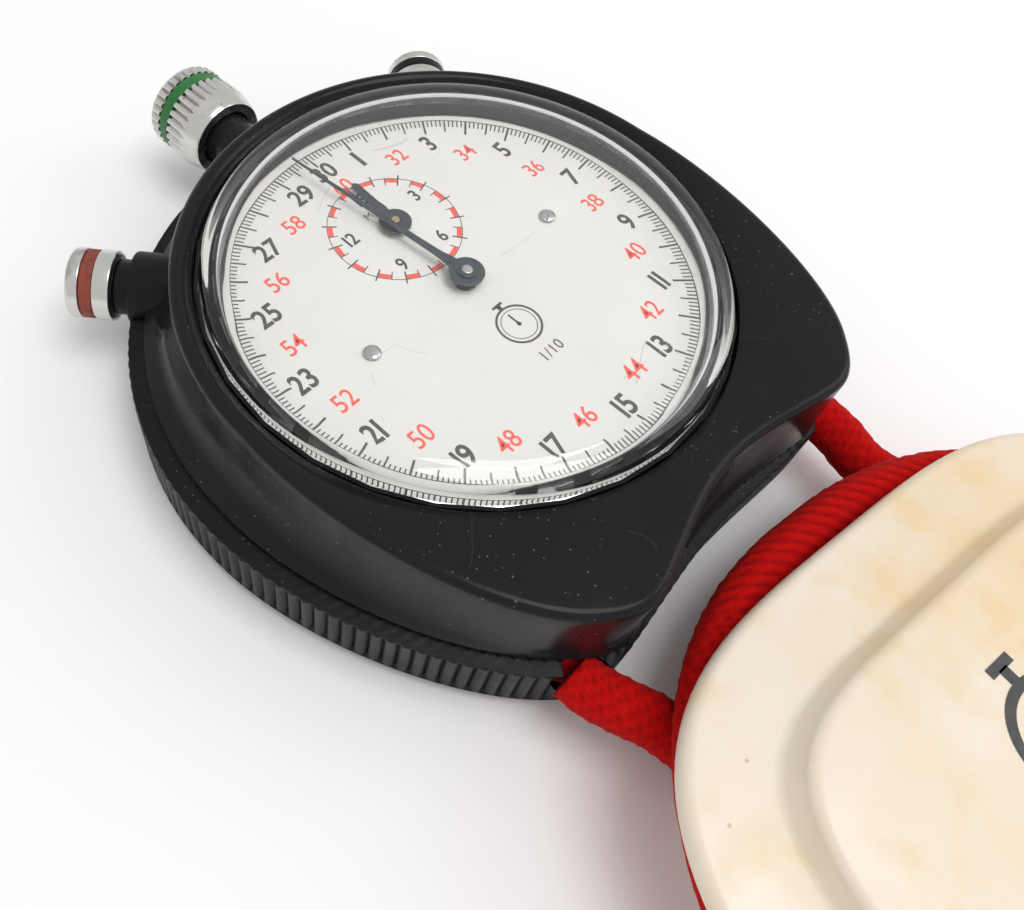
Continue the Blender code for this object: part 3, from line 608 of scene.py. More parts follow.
CORD_LEFT = [(-15.95, -28.95, 5.75), (-15.5, -30.2, 5.65), (-14.8, -31.7, 5.3)]
CORD_RIGHT = [(16.05, -28.7, 5.75), (15.85, -30.1, 5.6), (15.5, -32.0, 5.2)]
DIVE_LEFT = [(-14.15, -33.6, 4.7), (-13.95, -35.8, 4.25), (-14.5, -38.0, 4.1), (-15.9, -40.3, 4.05)]
RISE_RIGHT = [(19.4, -40.0, 4.05), (17.2, -36.8, 4.3), (15.9, -34.3, 4.7)]
CHANNEL_Y = -24.0
CHANNEL_Z = 4.9
CHANNEL_R = 2.2
HORN_X = 12.4
HORN_BEND = 3.7
MOUTH_RISE = 0.7
LOW_Z, HIGH_Z = 4.05, 8.15


def eased(share):
    share = min(max(share, 0.0), 1.0)
    return share * share * (3 - 2 * share)


def winding_route():
    """Under five turns round the core, anticlockwise: inwards below, outwards above, down again."""
    stops = [(0.5, LOW_Z), (0.0, LOW_Z), (0.0, HIGH_Z), (0.5, HIGH_Z), (1.0, HIGH_Z), (1.0, LOW_Z)]
    moves = [(278, 300), (610, 636), (945, 969), (1305, 1329), (1640, 1664)]
    inner = [size + CORD_R for size in WINDER_CORE]
    outer = [size - CORD_R for size in WINDING_SIZE]
    row = []
    for degrees in range(150, 1846, 3):
        share, height = stops[0]
        for (start, end), (before, after) in zip(moves, zip(stops, stops[1:])):
            done = eased((degrees - start) / (end - start))
            share += (after[0] - before[0]) * done
            height += (after[1] - before[1]) * done
        angle = math.radians(degrees)
        near = superellipse_point(WINDER_AT, inner, 3.0, angle)
        far = superellipse_point(WINDING_AT, outer, 2.4, angle)
        row.append((*near.lerp(far, share), height))
    return row


def cord_route():
    """The free cord: from just inside the left horn, round the winder and to just inside the right one."""
    left = tucked_in(CORD_LEFT) + [tuple(spot) for spot in smooth_route(CORD_LEFT + DIVE_LEFT, 4)]
    right = [tuple(spot) for spot in smooth_route(RISE_RIGHT + CORD_RIGHT[::-1], 4)]
    right += tucked_in(CORD_RIGHT)[::-1]
    return left + winding_route() + right


def tucked_in(route):
    """Points inside the horn, back from the mouth that a route starts at, turning inwards."""
    mouth, after = Vector(route[0]), Vector(route[1])
    back = (mouth - after).normalized()
    inwards = Vector((-1.0 if mouth.x > 0 else 1.0, 0.0, 0.0))
    return [tuple(mouth + back * depth + inwards * depth**2 / 17) for depth in (3.0, 2.0, 1.0)]


def channel_path(turn):
    """Centre line of the cord inside the right horn, from the middle outwards."""
    path = [(0.0, CHANNEL_Y, CHANNEL_Z), (HORN_X / 2, CHANNEL_Y, CHANNEL_Z)]
    for step in range(9):
        share = step / 8
        angle = math.radians(90 - turn * share)
        x = HORN_X + HORN_BEND * math.cos(angle)
        y = CHANNEL_Y - HORN_BEND + HORN_BEND * math.sin(angle)
        path.append((x, y, CHANNEL_Z + MOUTH_RISE * eased(share)))
    return path


def stepped(route, spacing):
    """The route as evenly spaced points on a smooth curve."""
    spots = smooth_route(route, 6)
    row, left = [spots[0]], spacing
    for before, after in zip(spots, spots[1:]):
        length = (after - before).length
        while length >= left:
            before = before.lerp(after, left / length)
            row.append(before)
            length = (after - before).length
            left = spacing
        left -= length
    return row


def braid_height(around, along):
    """How proud the yarn stands at a place on the cord, from 0 in a gap to 1 on a yarn's back."""
    first = 8 * around + along / 1.25
    second = 8 * around - along / 1.25
    u, v = first % 1.0 - 0.5, second % 1.0 - 0.5
    if (math.floor(first) + math.floor(second)) % 2:
        u, v = v, u
    return (1 - (2 * v) ** 2) * (1 - 0.4 * (2 * u) ** 2)


def braided_tube(name, route, radius, finish, sides=32, spacing=0.42, relief=0.2):
    """A braided cord along the route: its yarns are in the mesh, and their height also sets a painted shade
    that darkens the gaps between them.
    """
    spots = stepped(route, spacing)
    rings, weave = [], []
    side = Vector((0, 0, 1)).cross(spots[1] - spots[0]).normalized()
    for index, spot in enumerate(spots):
        ahead = (spots[min(index + 1, len(spots) - 1)] - spots[max(index - 1, 0)]).normalized()
        side = (side - ahead * side.dot(ahead)).normalized()
        up = ahead.cross(side)
        ring = []
        for step in range(sides):
            share = step / sides
            along = index * spacing
            height = braid_height(share, along)
            loose = noise.noise(Vector((share * 9, along * 0.7, 3.0))) * 0.05
            reach = radius - relief * 0.75 + relief * height + loose
            angle = 2 * math.pi * share
            ring.append(spot + (side * math.cos(angle) + up * math.sin(angle)) * reach)
            weave.append(height)
        rings.append(ring)
    cord = mesh_piece(name, skin(rings), finish, sharp=180)
    layer = cord.data.attributes.new("weave", "FLOAT", "POINT")
    layer.data.foreach_set("value", weave)
    return cord, spots


def make_cord(finish):
    loop, spots = braided_tube("neck_cord", cord_route(), CORD_R, finish)
    settle(loop, "case", "red_cord", "cord_left", "cord_right", "cord_winding")
    middle = [(-x, y, z) for x, y, z in channel_path(103)[-4:0:-1]] + channel_path(95)[:-3]
    hidden = braided_tube("cord_in_horns", middle, CORD_R - 0.08, finish)[0]
    settle(hidden, "case", "red_cord", "cord_in_case")


# ---- winder


def plate_rings(centre, sizes, exponent, low, high, radius):
    """A plate with a fully rounded edge, as (outline, height) rings from its underside to its top."""
    middle, half = (low + high) / 2, (high - low) / 2
    rings = []
    for step in range(9):
        angle = math.radians(-90 + 180 * step / 8)
        inset = radius * (1 - math.cos(angle))
        outline = superellipse(centre, sizes, exponent, inset)
        rings.append(at_height(outline, middle + half * math.sin(angle)))
    return rings


def make_winder(ivory, black):
    rings = plate_rings(WINDER_AT, BASE_SIZE, 3.6, 0.0, BASE_TOP, 0.8)
    waist = ((-0.5, BASE_TOP), (-0.15, BASE_TOP + 0.15), (0.0, BASE_TOP + 0.5), (0.1, TOP_LOW - 0.3))
    for inset, height in waist:
        rings.append(at_height(superellipse(WINDER_AT, WINDER_CORE, 3.0, inset), height))
    base = mesh_piece("winder_lower_half", skin(rings), ivory)
    settle(base, "case", "white_plastic", "winder_base")
    plate_top = TOP_LOW + 2.0
    rings = plate_rings(WINDER_AT, WINDER_SIZE, 3.6, TOP_LOW, plate_top, 0.8)
    top = mesh_piece("winder_upper_half", skin(rings + raised_middle(plate_top)), ivory)
    settle(top, "case", "white_plastic", "winder_top")
    settle(winder_mark(black), "case", "black_plastic")


def raised_middle(foot):
    """The winder's raised middle, as rings from its foot over its rounded edge to its top."""
    rows = [(5.0, -1.15, 0.0), (5.0, -0.85, 0.06), (5.0, -0.6, 0.28), (5.0, -0.45, 0.6), (5.0, 0.0, 1.2)]
    for step in range(1, 6):
        angle = math.radians(90 * step / 5)
        rows.append((5.0, 0.8 * (1 - math.cos(angle)), 1.2 + 0.7 * math.sin(angle)))
    rows += [(4.0, 6.0, 1.98), (4.0, 14.0, 2.0)]
    rings = []
    for exponent, inset, rise in rows:
        rings.append(at_height(superellipse(RAISED_AT, RAISED_SIZE, exponent, inset), foot + rise))
    return rings


def winder_mark(finish):
    """A plain printed sign: a ring with a button and a hand, for no maker in particular."""
    parts = [flat_ring(3.3, 4.0, 64), flat_ring(0.0, 0.55, 24), flat_bar((0.0, 0.0), (1.7, 1.7), 0.5)]
    parts += [flat_bar((0.0, 4.0), (0.0, 5.0), 0.8), flat_bar((-1.1, 5.2), (1.1, 5.2), 0.7)]
    turn = Matrix.Rotation(math.radians(WINDER_TURN), 4, "Z")
    place = Matrix.Translation((-0.6, -50.6, WINDER_TOP + 0.005)) @ turn
    return mesh_piece("winder_print", joined(parts), finish, place)


# ---- flat prints


def solid_from(outline):
    return skin([at_height(outline, 0.0), at_height(outline, PRINT)])


def flat_ring(inner, outer, sides, start=0.0, end=360.0):
    """A printed ring or arc, from one compass angle to another, clockwise from +Y."""
    whole = end - start >= 360.0
    steps = max(3, int(sides * (end - start) / 360.0))
    if inner == 0.0:
        return skin([circle(outer, 0.0, sides), circle(outer, PRINT, sides)])
    sections = []
    for step in range(steps if whole else steps + 1):
        angle = math.radians(90.0 - start - (end - start) * step / steps)
        ahead = (math.cos(angle), math.sin(angle))
        corners = ((inner, 0.0), (outer, 0.0), (outer, PRINT), (inner, PRINT))
        sections.append([(ahead[0] * radius, ahead[1] * radius, height) for radius, height in corners])
    return skin(sections, closed=whole)


def flat_bar(start, end, width):
    start, end = Vector(start), Vector(end)
    ahead = (end - start).normalized()
    side = Vector((-ahead.y, ahead.x)) * width / 2
    return solid_from([tuple(start + side), tuple(start - side), tuple(end - side), tuple(end + side)])


def moved(bm, x=0.0, y=0.0, turn=0.0):
    matrix = Matrix.Translation((x, y, 0.0)) @ Matrix.Rotation(math.radians(turn), 4, "Z")
    bmesh.ops.transform(bm, matrix=matrix, verts=bm.verts)
    return bm


def radial_tick(angle, inner, outer, width, centre=(0.0, 0.0)):
    """A tick along a radius, at a compass angle clockwise from +Y."""
    return moved(flat_bar((0.0, inner), (0.0, outer), width), centre[0], centre[1], -angle)


def lettering(text, height, centre, bold=0.0, narrow=0.8, spread=1.0):
    """Figures as flat solid shapes of that height, centred on a spot."""
    curve = bpy.data.curves.new("figure", "FONT")
    curve.body = text
    curve.size = 1.0
    curve.offset = bold
    curve.extrude = 0.01
    curve.resolution_u = 6
    curve.space_character = spread
    made = bpy.data.objects.new("figure", curve)
    bpy.context.scene.collection.objects.link(made)
    bpy.context.view_layer.update()
    graph = bpy.context.evaluated_depsgraph_get()
    mesh = bpy.data.meshes.new_from_object(made.evaluated_get(graph))
    bm = bmesh.new()
    bm.from_mesh(mesh)
    bpy.data.objects.remove(made)
    bpy.data.meshes.remove(mesh)
    corners = [vertex.co for vertex in bm.verts]
    low = Vector(tuple(min(corner[axis] for corner in corners) for axis in range(3)))
    high = Vector(tuple(max(corner[axis] for corner in corners) for axis in range(3)))
    scale = height / (high.y - low.y)
    middle = (low + high) / 2
    for vertex in bm.verts:
        x = (vertex.co.x - middle.x) * scale * narrow + centre[0]
        y = (vertex.co.y - middle.y) * scale + centre[1]
        vertex.co = (x, y, PRINT if vertex.co.z > middle.z else 0.0)
    bmesh.ops.remove_doubles(bm, verts=bm.verts, dist=1e-6)
    return bm


def compass(angle, radius):
    turn = math.radians(90.0 - angle)
    return (radius * math.cos(turn), radius * math.sin(turn))


def seconds_track():
    """Tenths, half seconds and seconds inside their outer circle, for a 30 second turn."""
    parts = [flat_ring(19.44, 19.54, 360)]
    for tenth in range(300):
        inner, width = 18.65, 0.12
        if tenth % 10 == 0:
            inner, width = 17.7, 0.19
        elif tenth % 5 == 0:
            inner, width = 18.0, 0.15
        parts.append(radial_tick(tenth * 1.2, inner, 19.5, width))
    return parts


def minute_track():
    middle = MINUTE_PIVOT
    black, red = [moved(flat_ring(5.76, 5.83, 180), *middle)], []
    for minute in range(15):
        angle = minute * 24.0
        black.append(radial_tick(angle, 4.95, 6.25, 0.13, middle))
        black.append(radial_tick(angle - 12.0, 5.0, 5.8, 0.09, middle))
        red.append(moved(flat_ring(5.32, 5.74, 360, angle - 11.6, angle - 0.6), *middle))
    return black, red


def printed_figures():
    black = [lettering("30", 1.96, (0.0, 16.9), 0.022, 0.84)]
    red = [lettering("60", 1.6, (0.0, 14.55), 0.006, 0.86)]
    for second in range(1, 30):
        angle = second * 12.0
        if second % 2:
            text = str(second).replace("1", "I")
            narrow = 0.82 if second > 1 else 1.0
            black.append(lettering(text, 2.0, compass(angle, 16.5), 0.022, narrow))
        else:
            red.append(lettering(str(30 + second), 1.65, compass(angle, 15.35), 0.006, 0.84))
    minutes = {"I5": (0.0, 12.3), "3": (3.95, 9.6), "6": (2.3, 4.8), "9": (-2.5, 4.8), "I2": (-3.8, 9.6)}
    for text, spot in minutes.items():
        black.append(lettering(text, 1.4, spot, 0.018, 0.84))
    black.append(lettering("MIN", 0.72, (0.0, 10.5), 0.0, 1.0, 1.5))
    black.append(lettering("1/10", 1.0, (0.0, -9.3), 0.004, 0.9, 1.1))
    return black, red


def plain_emblem():
    """A small ring with a hand in it, in the place of a maker's sign."""
    parts = [flat_ring(1.75, 1.95, 72), flat_ring(1.45, 1.52, 72), flat_ring(0.0, 0.2, 24)]
    parts += [flat_bar((0.0, 0.0), (0.0, 1.2), 0.18), flat_bar((0.0, 1.95), (0.0, 2.35), 0.4)]
    parts += [flat_bar((-0.55, 2.4), (0.55, 2.4), 0.25)]
    return [moved(part, 0.0, -5.9) for part in parts]


def make_prints(black, red):
    minute_black, minute_red = minute_track()
    figures_black, figures_red = printed_figures()
    lift = Matrix.Translation((0.0, 0.0, DIAL_TOP + 0.002))
    black_prints = joined(seconds_track() + minute_black + figures_black + plain_emblem())
    dark = mesh_piece("dial_print_black", black_prints, black, lift)
    settle(dark, "case", "black_plastic")
    bright = mesh_piece("dial_print_red", joined(minute_red + figures_red), red, lift)
    settle(bright, "case", "red_band")


# ---- the case


def case_outline(radius, side, corner, hollow, count):
    """One level of the case: a round head, two horns and the hollow between them."""
    start, first, second, end = corner
    middle = (0.0, hollow[2])
    right = bezier((radius, 0.0), side[0], side[1], start, 60)
    right += bezier(start, first, second, end, 40)
    right += bezier(end, hollow[0], hollow[1], middle, 50)
    head = []
    for step in range(1, 180):
        angle = math.radians(180 - step)
        head.append((radius * math.cos(angle), radius * math.sin(angle)))
    outline = right + [middle] + [(-x, y) for x, y in reversed(right)] + head
    return even_points(outline[::-1], count)


def rim_outline(count):
    corner = ((16.8, -25.0), (15.6, -26.1), (14.0, -27.6), (12.0, -27.5))
    side = ((24.5, -9.0), (21.0, -21.0))
    return case_outline(RIM_R, side, corner, ((8.5, -27.1), (4.5, -25.2), -25.2), count)


def seam_outline(count):
    corner = ((17.2, -24.8), (15.9, -26.2), (14.2, -27.8), (12.0, -27.7))
    side = ((26.9, -8.5), (22.6, -19.5))
    return case_outline(SEAM_R, side, corner, ((8.5, -27.3), (4.5, -26.2), -26.2), count)


def back_outline(count):
    corner = ((17.9, -25.6), (16.6, -26.9), (15.0, -28.3), (12.5, -28.1))
    side = ((28.2, -9.0), (23.0, -20.5))
    return case_outline(CASE_R, side, corner, ((9.0, -27.9), (4.0, -27.2), -27.2), count)


def round_inside(outline, radius, height):
    ring = []
    for x, y in outline:
        share = radius / math.hypot(x, y)
        ring.append((x * share, y * share, height))
    return ring


def button_holes():
    holes = []
    for azimuth, radius in ((90, 2.75), (130, 3.35), (50, 3.35)):
        shape = turned([(0.0, 19.5), (radius, 19.5), (radius, 33.0), (0.0, 33.0)], 64)
        holes.append(mesh_piece(f"hole_{azimuth}", shape, None, radial_frame(azimuth)))
    return holes


def make_front_case(finish):
    count = 360
    rim, seam = rim_outline(count), seam_outline(count)
    low = SEAM_Z + 0.15
    rings = [round_inside(seam, LIP_R, low), at_height(pulled_in(seam, 0.25), low)]
    wall = [(0.0, low + 0.22), (0.18, low + 0.6), (0.45, low + 1.2), (0.64, low + 2.0), (0.8, low + 3.2)]
    wall += [(0.9, low + 4.6), (0.97, low + 6.0)]
    for share, height in smooth_pairs(wall, 3):
        rings.append(at_height(between(seam, rim, share), height))
    edge_run, edge_rise = 0.75, 0.6
    for step in range(9):
        angle = math.radians(90 * step / 8)
        inset, rise = edge_run * (1 - math.cos(angle)), edge_rise * math.sin(angle)
        rings.append(at_height(pulled_in(rim, inset), RIM_Z - edge_rise + rise))
    shoulder = pulled_in(rim, edge_run)
    seat = round_inside(rim, SEAT_R + 0.25, RIM_Z - 0.62)
    for step in range(1, 6):
        share = step / 6
        ring = [Vector((*spot, RIM_Z)).lerp(Vector(end), share) for spot, end in zip(shoulder, seat)]
        rings.append([(x, y, z + 0.12 * math.sin(math.pi * share)) for x, y, z in ring])
    rings.append(seat)
    inner = [(SEAT_R + 0.06, RIM_Z - 0.72), (SEAT_R, RIM_Z - 0.9), (SEAT_R, LEDGE_Z), (CAVITY_R, LEDGE_Z)]
    inner += [(CAVITY_R, LIP_LOW), (LIP_R, LIP_LOW)]
    rings += [round_inside(rim, radius, height) for radius, height in inner]
    front = mesh_piece("case_front", skin(rings, closed=True), finish)
    cut(front, *button_holes())
    settle(front, "case", "black_plastic", "front_case")


def smooth_pairs(pairs, steps):
    return [tuple(spot)[:2] for spot in smooth_route([(*pair, 0.0) for pair in pairs], steps)]


def rib_waves(count, per_rib):
    """How close each point is to a groove between two ribs, from 0 to 1."""
    return [abs(math.cos(math.pi * index / per_rib)) for index in range(count)]


def make_back_case(finish):
    per_rib = 5
    count = RIB_COUNT * per_rib
    back, seam = back_outline(count), seam_outline(count)
    waves = rib_waves(count, per_rib)
    grooves = [RIB_DEPTH * wave**6 for wave in waves]
    top = SEAM_Z - 0.15
    rings = [at_height(pulled_in(back, 3.0), 0.0), at_height(pulled_in(back, 1.6), 0.12)]
    rings += [at_height(pulled_in(back, 1.0), 0.45), at_height(pulled_in(back, 0.42), 1.1)]
    rib_shape = ((1.5, 0.0), (1.7, 0.5), (2.0, 1.0), (4.4, 1.0), (6.3, 1.0), (6.55, 0.75), (6.75, 0.3))
    for height, share in rib_shape:
        inset = [share * depth + 0.02 for depth in grooves]
        rings.append(at_height(pulled_in(back, inset), height))
    rings += [at_height(pulled_in(back, 0.12), 6.92), at_height(between(back, seam, 0.7), 7.0)]
    teeth = [0.25 * eased(2 * wave - 0.6) for wave in waves]
    rings += [at_height(pulled_in(seam, teeth), 7.12), at_height(pulled_in(seam, teeth), top)]
    step_z = 6.2
    rings += [round_inside(seam, LIP_R + 0.15, height) for height in (top, step_z)]
    rings += [round_inside(seam, CAVITY_R, height) for height in (step_z, FLOOR_Z)]
    shell = mesh_piece("case_back", skin(rings), finish)
    cut(shell, *button_holes(), channel_cutter())
    settle(shell, "case", "black_plastic", "back_case")


def channel_cutter():
    """The cord's channel through both horns, running out past its mouths."""
    right = channel_path(103)
    ahead = (Vector(right[-1]) - Vector(right[-2])).normalized()
    right.append(tuple(Vector(right[-1]) + ahead * 3.0))
    path = [(-x, y, z) for x, y, z in reversed(right)][:-1] + right
    spots = stepped(path, 0.8)
    rings = []
    for index, spot in enumerate(spots):
        ahead = (spots[min(index + 1, len(spots) - 1)] - spots[max(index - 1, 0)]).normalized()
        side = ahead.cross(Vector((0, 0, 1))).normalized()
        up = side.cross(ahead)
        turns = [2 * math.pi * step / 32 for step in range(32)]
        rings.append([spot + (side * math.cos(turn) + up * math.sin(turn)) * CHANNEL_R for turn in turns])
    return mesh_piece("channel", skin(rings), None)


def make_opening_slot(finish):
    """The dark ledge that shows in the prying slot between the horns."""
    low, high = 7.34, 7.64
    sections = []
    for x in (-3.2, -1.6, 0.0, 1.6, 3.2):
        inner = -25.95 - 0.05 * abs(x)
        outer = inner - 0.4
        sections.append([(x, inner, low), (x, outer, low), (x, outer, high), (x, inner, high)])
    settle(mesh_piece("slot_strip", skin(sections), finish), "case", "black_plastic")


# ---- crystal, dial, hands


def make_crystal(finish):
    outside = [(CRYSTAL_R, 13.5), (CRYSTAL_R, 15.1), (20.95, 15.85), (19.8, 16.3)]
    outside += [(16.0, 16.62), (12.0, 16.8), (6.0, 16.95)]
    inside = [(6.0, 15.85), (12.0, 15.7), (16.0, 15.5), (19.0, 15.2), (20.0, 14.7), (20.2, 13.5)]
    thickness, bend = 1.1, 0.5
    profile = [(0.0, CRYSTAL_TOP - thickness)] + rounded(inside, bend, 5)
    profile += rounded(outside, bend, 5) + [(0.0, CRYSTAL_TOP)]
    crystal = mesh_piece("crystal_dome", turned(profile, 160), finish, sharp=50)
    settle(crystal, "case", "clear_acrylic", "crystal")


def make_dial(lacquer, black, steel):
    bore = 0.95
    profile = [(bore, DIAL_LOW), (DIAL_R, DIAL_LOW), (DIAL_R, DIAL_TOP), (bore, DIAL_TOP)]
    dial = ring_piece("dial_plate", profile, lacquer, None, 0.06, 240)
    settle(dial, "case", "silver_dial", "dial")
    profile = [(20.3, RING_LOW), (20.75, RING_LOW), (20.75, RING_HIGH), (20.55, RING_HIGH)]
    ring = ring_piece("dial_retaining_ring", profile, black, None, 0.08, 240)
    settle(ring, "case", "black_plastic", "dial_ring")
    for name, side in (("left", -1), ("right", 1)):
        make_dial_screw(name, side * SCREW_X, steel)


def make_dial_screw(name, x, steel):
    under = DIAL_TOP + 0.1
    head = [(0.0, 10.4), (0.35, 10.4), (0.35, under), (0.72, under), (0.72, 12.26)]
    head += [(0.5, 12.38), (0.0, 12.42)]
    place = Matrix.Translation((x, 0.0, 0.0))
    screw = mesh_piece(f"screw_{name}", turned(rounded(head, 0.05, 3), 48), steel, place)
    corners = [(-1, -0.1), (1, -0.1), (1, 0.1), (-1, 0.1)]
    slot = moved(skin([at_height(corners, height) for height in (12.22, 12.7)]), x, 0.0, 35)
    cut(screw, mesh_piece("slot", slot, None))
    settle(screw, "case", "steel", f"dial_screw_{name}")


def blade_sections(rows, low, high):
    """A hand's blade, ridged down its middle, from (distance, half width) rows along +Y."""
    sections = []
    ridge = high - 0.05
    for distance, half in rows:
        corners = ((-half, low), (half, low), (half, ridge), (0.0, high), (-half, ridge))
        sections.append([(x, distance, z) for x, z in corners])
    return skin(sections)


def make_hands(blued, pin):
    turn = Matrix.Rotation(math.radians(SWEEP_TURN), 4, "Z")
    rows = [(0.9, 0.62), (1.8, 0.46), (2.6, 0.36), (3.6, 0.31)]
    rows += [(7.0, 0.25), (12.0, 0.17), (16.5, 0.11), (19.2, 0.07)]
    disc = [(0.6, 13.1), (1.5, 13.1), (1.5, 13.35), (0.6, 13.35)]
    hub = [(0.5, 12.3), (0.8, 12.3), (0.8, 13.55), (0.5, 13.55)]
    parts = [blade_sections(rows, *SWEEP_LEVEL)]
    parts += [turned(rounded(profile, 0.05, 3, True), 72, True) for profile in (disc, hub)]
    parts.append(blade_sections([(-1.45, 0.3), (-1.1, 0.55), (-0.7, 0.6)], 13.12, 13.32))
    sweep = mesh_piece("sweep_hand_blued", joined(parts), blued, turn)
    settle(sweep, "sweep", "dark_steel", "sweep_hand")
    centre = turned(rounded([(0.0, 13.3), (0.46, 13.3), (0.46, 13.6), (0.0, 13.64)], 0.08, 4), 48)
    settle(mesh_piece("sweep_pin", centre, pin), "sweep", "steel")
    place = Matrix.Translation((*MINUTE_PIVOT, 0.0))
    turn = place @ Matrix.Rotation(math.radians(MINUTE_TURN), 4, "Z")
    rows = [(0.8, 0.5), (2.2, 0.4), (4.9, 0.36), (5.35, 0.33), (5.6, 0.12)]
    disc = [(0.44, 12.55), (1.4, 12.55), (1.4, 12.8), (0.44, 12.8)]
    parts = [blade_sections(rows, *MINUTE_LEVEL), turned(rounded(disc, 0.05, 3, True), 72, True)]
    minute = mesh_piece("minute_hand_blued", joined(parts), blued, turn)
    settle(minute, "minute", "dark_steel", "minute_hand")
    centre = turned(rounded([(0.0, 12.6), (0.36, 12.6), (0.36, 12.93), (0.0, 12.96)], 0.08, 4), 40)
    settle(mesh_piece("minute_pin", centre, pin, place), "minute", "steel")


# ---- crown and pushers


def crown_radius(height, angle):
    """The crown's skin: a bevelled envelope that thirty V grooves are cut into."""
    envelope = CROWN_R
    if height < 32.6:
        envelope = 3.85 + 0.45 * (height - CROWN_LOW) / 1.9
    if height < 30.9:
        envelope -= 0.5 * (30.9 - height)
    if height > 37.15:
        envelope = CROWN_R - 0.4 * (height - 37.15) / 0.45
    run_out = 0.55 * max(0.0, 33.0 - height)
    groove = 3.86 + run_out + 0.46 * abs(math.sin(15 * angle)) ** 0.8
    return min(envelope, groove)


def make_crown(metal, green, black, steel):
    place = radial_frame(90)
    sides = 300
    band_low, band_high = CROWN_GROOVE
    skirt = [CROWN_LOW, 30.8, 31.0, 31.4] + [31.7 + 0.1 * step for step in range(15)]
    skirt += [33.6, 34.2, 34.75, band_low]
    outer_end = (band_high, 36.3, 36.7, 37.1, 37.2, 37.35, 37.5, 37.6)
    face = ((3.6, 37.62), (3.1, 37.5), (1.5, 37.52), (0.0, 37.54))
    rings = [circle(*row, sides) for row in ((2.8, 32.9), (2.8, 30.8), (2.9, CROWN_LOW))]
    rings += [crown_ring(height, sides) for height in skirt]
    rings += [circle(3.82, height, sides) for height in CROWN_GROOVE]
    rings += [crown_ring(height, sides) for height in outer_end]
    rings += [circle(*row, sides) for row in face]
    cap = mesh_piece("crown_fluted", skin(rings, capped=False), metal, place, 30)
    settle(cap, "crown", "polished_aluminium", "crown_cap")
    band = [(3.84, 34.9), (4.16, 34.9), (4.2, 35.0), (4.2, 36.0), (4.16, 36.1), (3.84, 36.1)]
    ring = ring_piece("crown_colour_band", band, green, place, 0.08, 180)
    settle(ring, "crown", "green_band", "crown_band")
    tube = [(2.6, 21.7), (2.6, 31.0), (1.75, 31.0), (1.75, 22.2), (1.1, 22.2), (1.1, 21.7)]
    sleeve = ring_piece("crown_sleeve", tube, black, place, 0.15, 96)
    settle(sleeve, "case", "black_plastic", "crown_tube")
    stem = [(0.0, 14.2), (0.7, 14.2), (0.8, 14.4), (0.8, 34.0), (0.7, 34.2), (0.0, 34.2)]
    settle(mesh_piece("stem_turned", turned(stem, 48), steel, place), "crown", "steel", "winding_stem")


def crown_ring(height, sides):
    ring = []
    for step in range(sides):
        angle = 2 * math.pi * step / sides
        radius = crown_radius(height, angle)
        ring.append((radius * math.cos(angle), radius * math.sin(angle), height))
    return ring


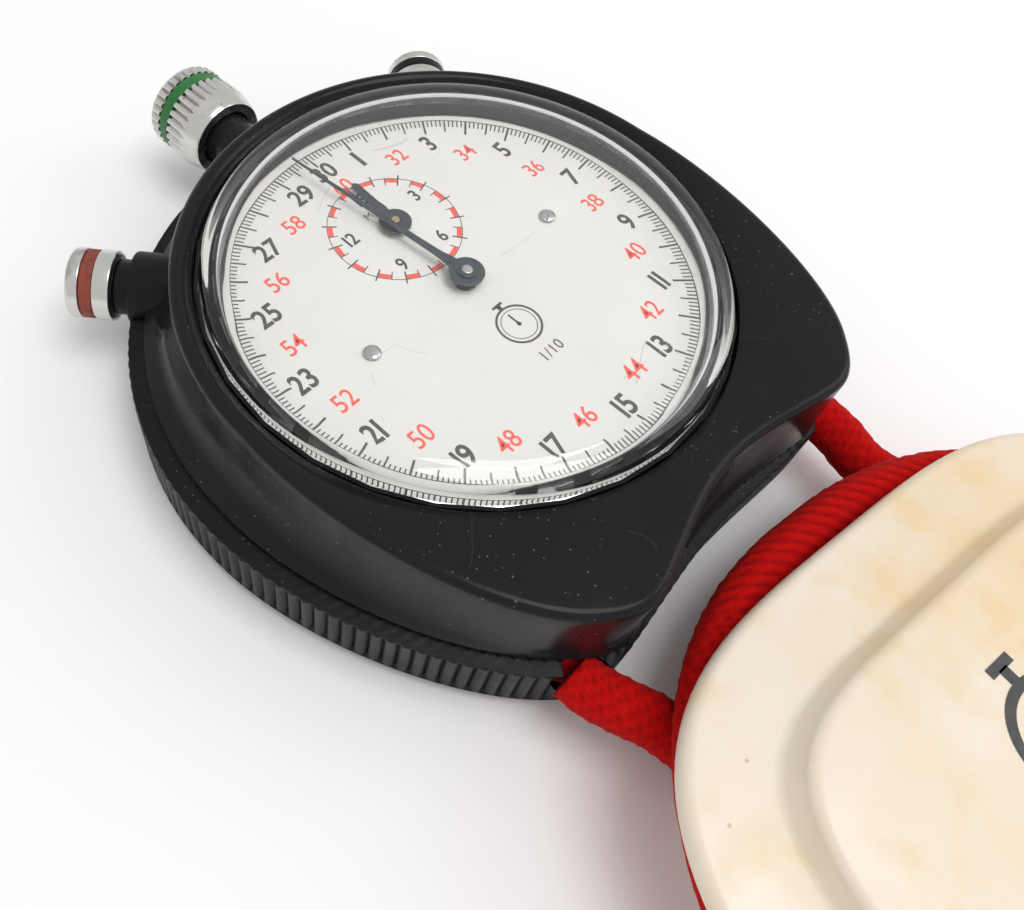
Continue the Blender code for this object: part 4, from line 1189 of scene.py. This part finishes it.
def make_pusher(side, azimuth, metal, band_finish, band_slot, black):
    place = radial_frame(azimuth)
    guide = [(3.2, 22.0), (3.2, 28.05), (2.5, 28.05), (2.5, 22.6), (1.0, 22.6), (1.0, 22.0)]
    sleeve = ring_piece(f"{side}_sleeve", guide, black, place, 0.3, 96, 4)
    settle(sleeve, "case", "black_plastic", f"{side}_guide")
    stem = [(0.0, 20.3), (0.85, 20.3), (0.85, 26.4), (2.4, 26.4)]
    stem += [(2.4, 29.3), (1.0, 29.3), (1.0, 31.5), (0.0, 31.5)]
    plunger = mesh_piece(f"{side}_plunger", turned(rounded(stem, 0.12, 3), 96), black, place)
    settle(plunger, f"{side}_button", "black_plastic", f"{side}_stem")
    head = [(1.1, 29.35), (2.75, 29.35), (3.05, 29.55), (3.05, 30.93), (2.76, 31.0)]
    head += [(2.76, 32.05), (3.05, 32.12), (3.05, 33.0), (2.85, 33.25)]
    head += [(2.1, 33.22), (2.0, 33.17), (0.0, 33.2)]
    rows = [(0.0, 31.6), (1.1, 31.6)] + rounded(head, 0.1, 4)
    shape = skin([circle(*row, 120) for row in rows], capped=False)
    cap = mesh_piece(f"{side}_cap_turned", shape, metal, place, 30)
    settle(cap, f"{side}_button", "polished_aluminium", f"{side}_cap")
    ring = [(2.77, 31.0), (2.98, 31.0), (2.98, 32.05), (2.77, 32.05)]
    band = ring_piece(f"{side}_colour_band", ring, band_finish, place, 0.08, 120)
    settle(band, f"{side}_button", band_slot, f"{side}_band")


# ---- all together


def finish_cad_nodes(finishes):
    """The movement inside the case keeps its CAD shapes and gets the same worked surfaces."""
    for item in frame["record"]["subparts"]:
        target = frame["nodes"].get(item["node"])
        if target:
            target.data.materials.clear()
            target.data.materials.append(finishes[item["material_slot"]])


set_camera()
set_light()
make_floor()
cord_finish = braided_red()
make_cord(cord_finish)
gloss = moulded_black("glossy_black", (0.008, 0.0082, 0.0098), 0.18, 0.3)
matte = moulded_black("ribbed_black", (0.006, 0.006, 0.0068), 0.36, 0.4)
ivory = aged_ivory()
black_ink = ink("black_ink", (0.02, 0.02, 0.022))
red_ink = ink("red_ink", (0.72, 0.055, 0.03))
aluminium = polished_metal("polished_aluminium", (0.66, 0.65, 0.63), 0.2, 0.6)
steel = brushed_metal("brushed_steel", (0.55, 0.56, 0.58), 0.22)
nickel = brushed_metal("brushed_nickel", (0.62, 0.60, 0.56), 0.26)
brass = brushed_metal("brushed_brass", (0.72, 0.52, 0.24), 0.26)
blued = polished_metal("blued_steel", (0.075, 0.09, 0.11), 0.3, 0.4)
green = painted("green_paint", (0.014, 0.19, 0.035), 0.02, (0.01, 0.05, 0.02))
brick = painted("brick_paint", (0.32, 0.055, 0.025), 0.12, (0.10, 0.03, 0.02), 0.6)
make_winder(ivory, black_ink)
make_front_case(gloss)
make_back_case(matte)
make_opening_slot(matte)
make_crystal(clear_acrylic())
make_dial(silver_dial(), gloss, steel)
make_prints(black_ink, red_ink)
make_hands(blued, steel)
make_crown(aluminium, green, gloss, steel)
make_pusher("stop", 130, aluminium, brick, "red_band", matte)
make_pusher("reset", 50, aluminium, matte, "black_plastic", matte)
finish_cad_nodes(
    {
        "black_plastic": matte,
        "gasket_rubber": matte,
        "clear_acrylic": matte,
        "silver_dial": nickel,
        "polished_aluminium": aluminium,
        "nickel": nickel,
        "brass": brass,
        "steel": steel,
        "dark_steel": blued,
        "green_band": green,
        "red_band": brick,
        "red_cord": cord_finish,
        "white_plastic": ivory,
    }
)
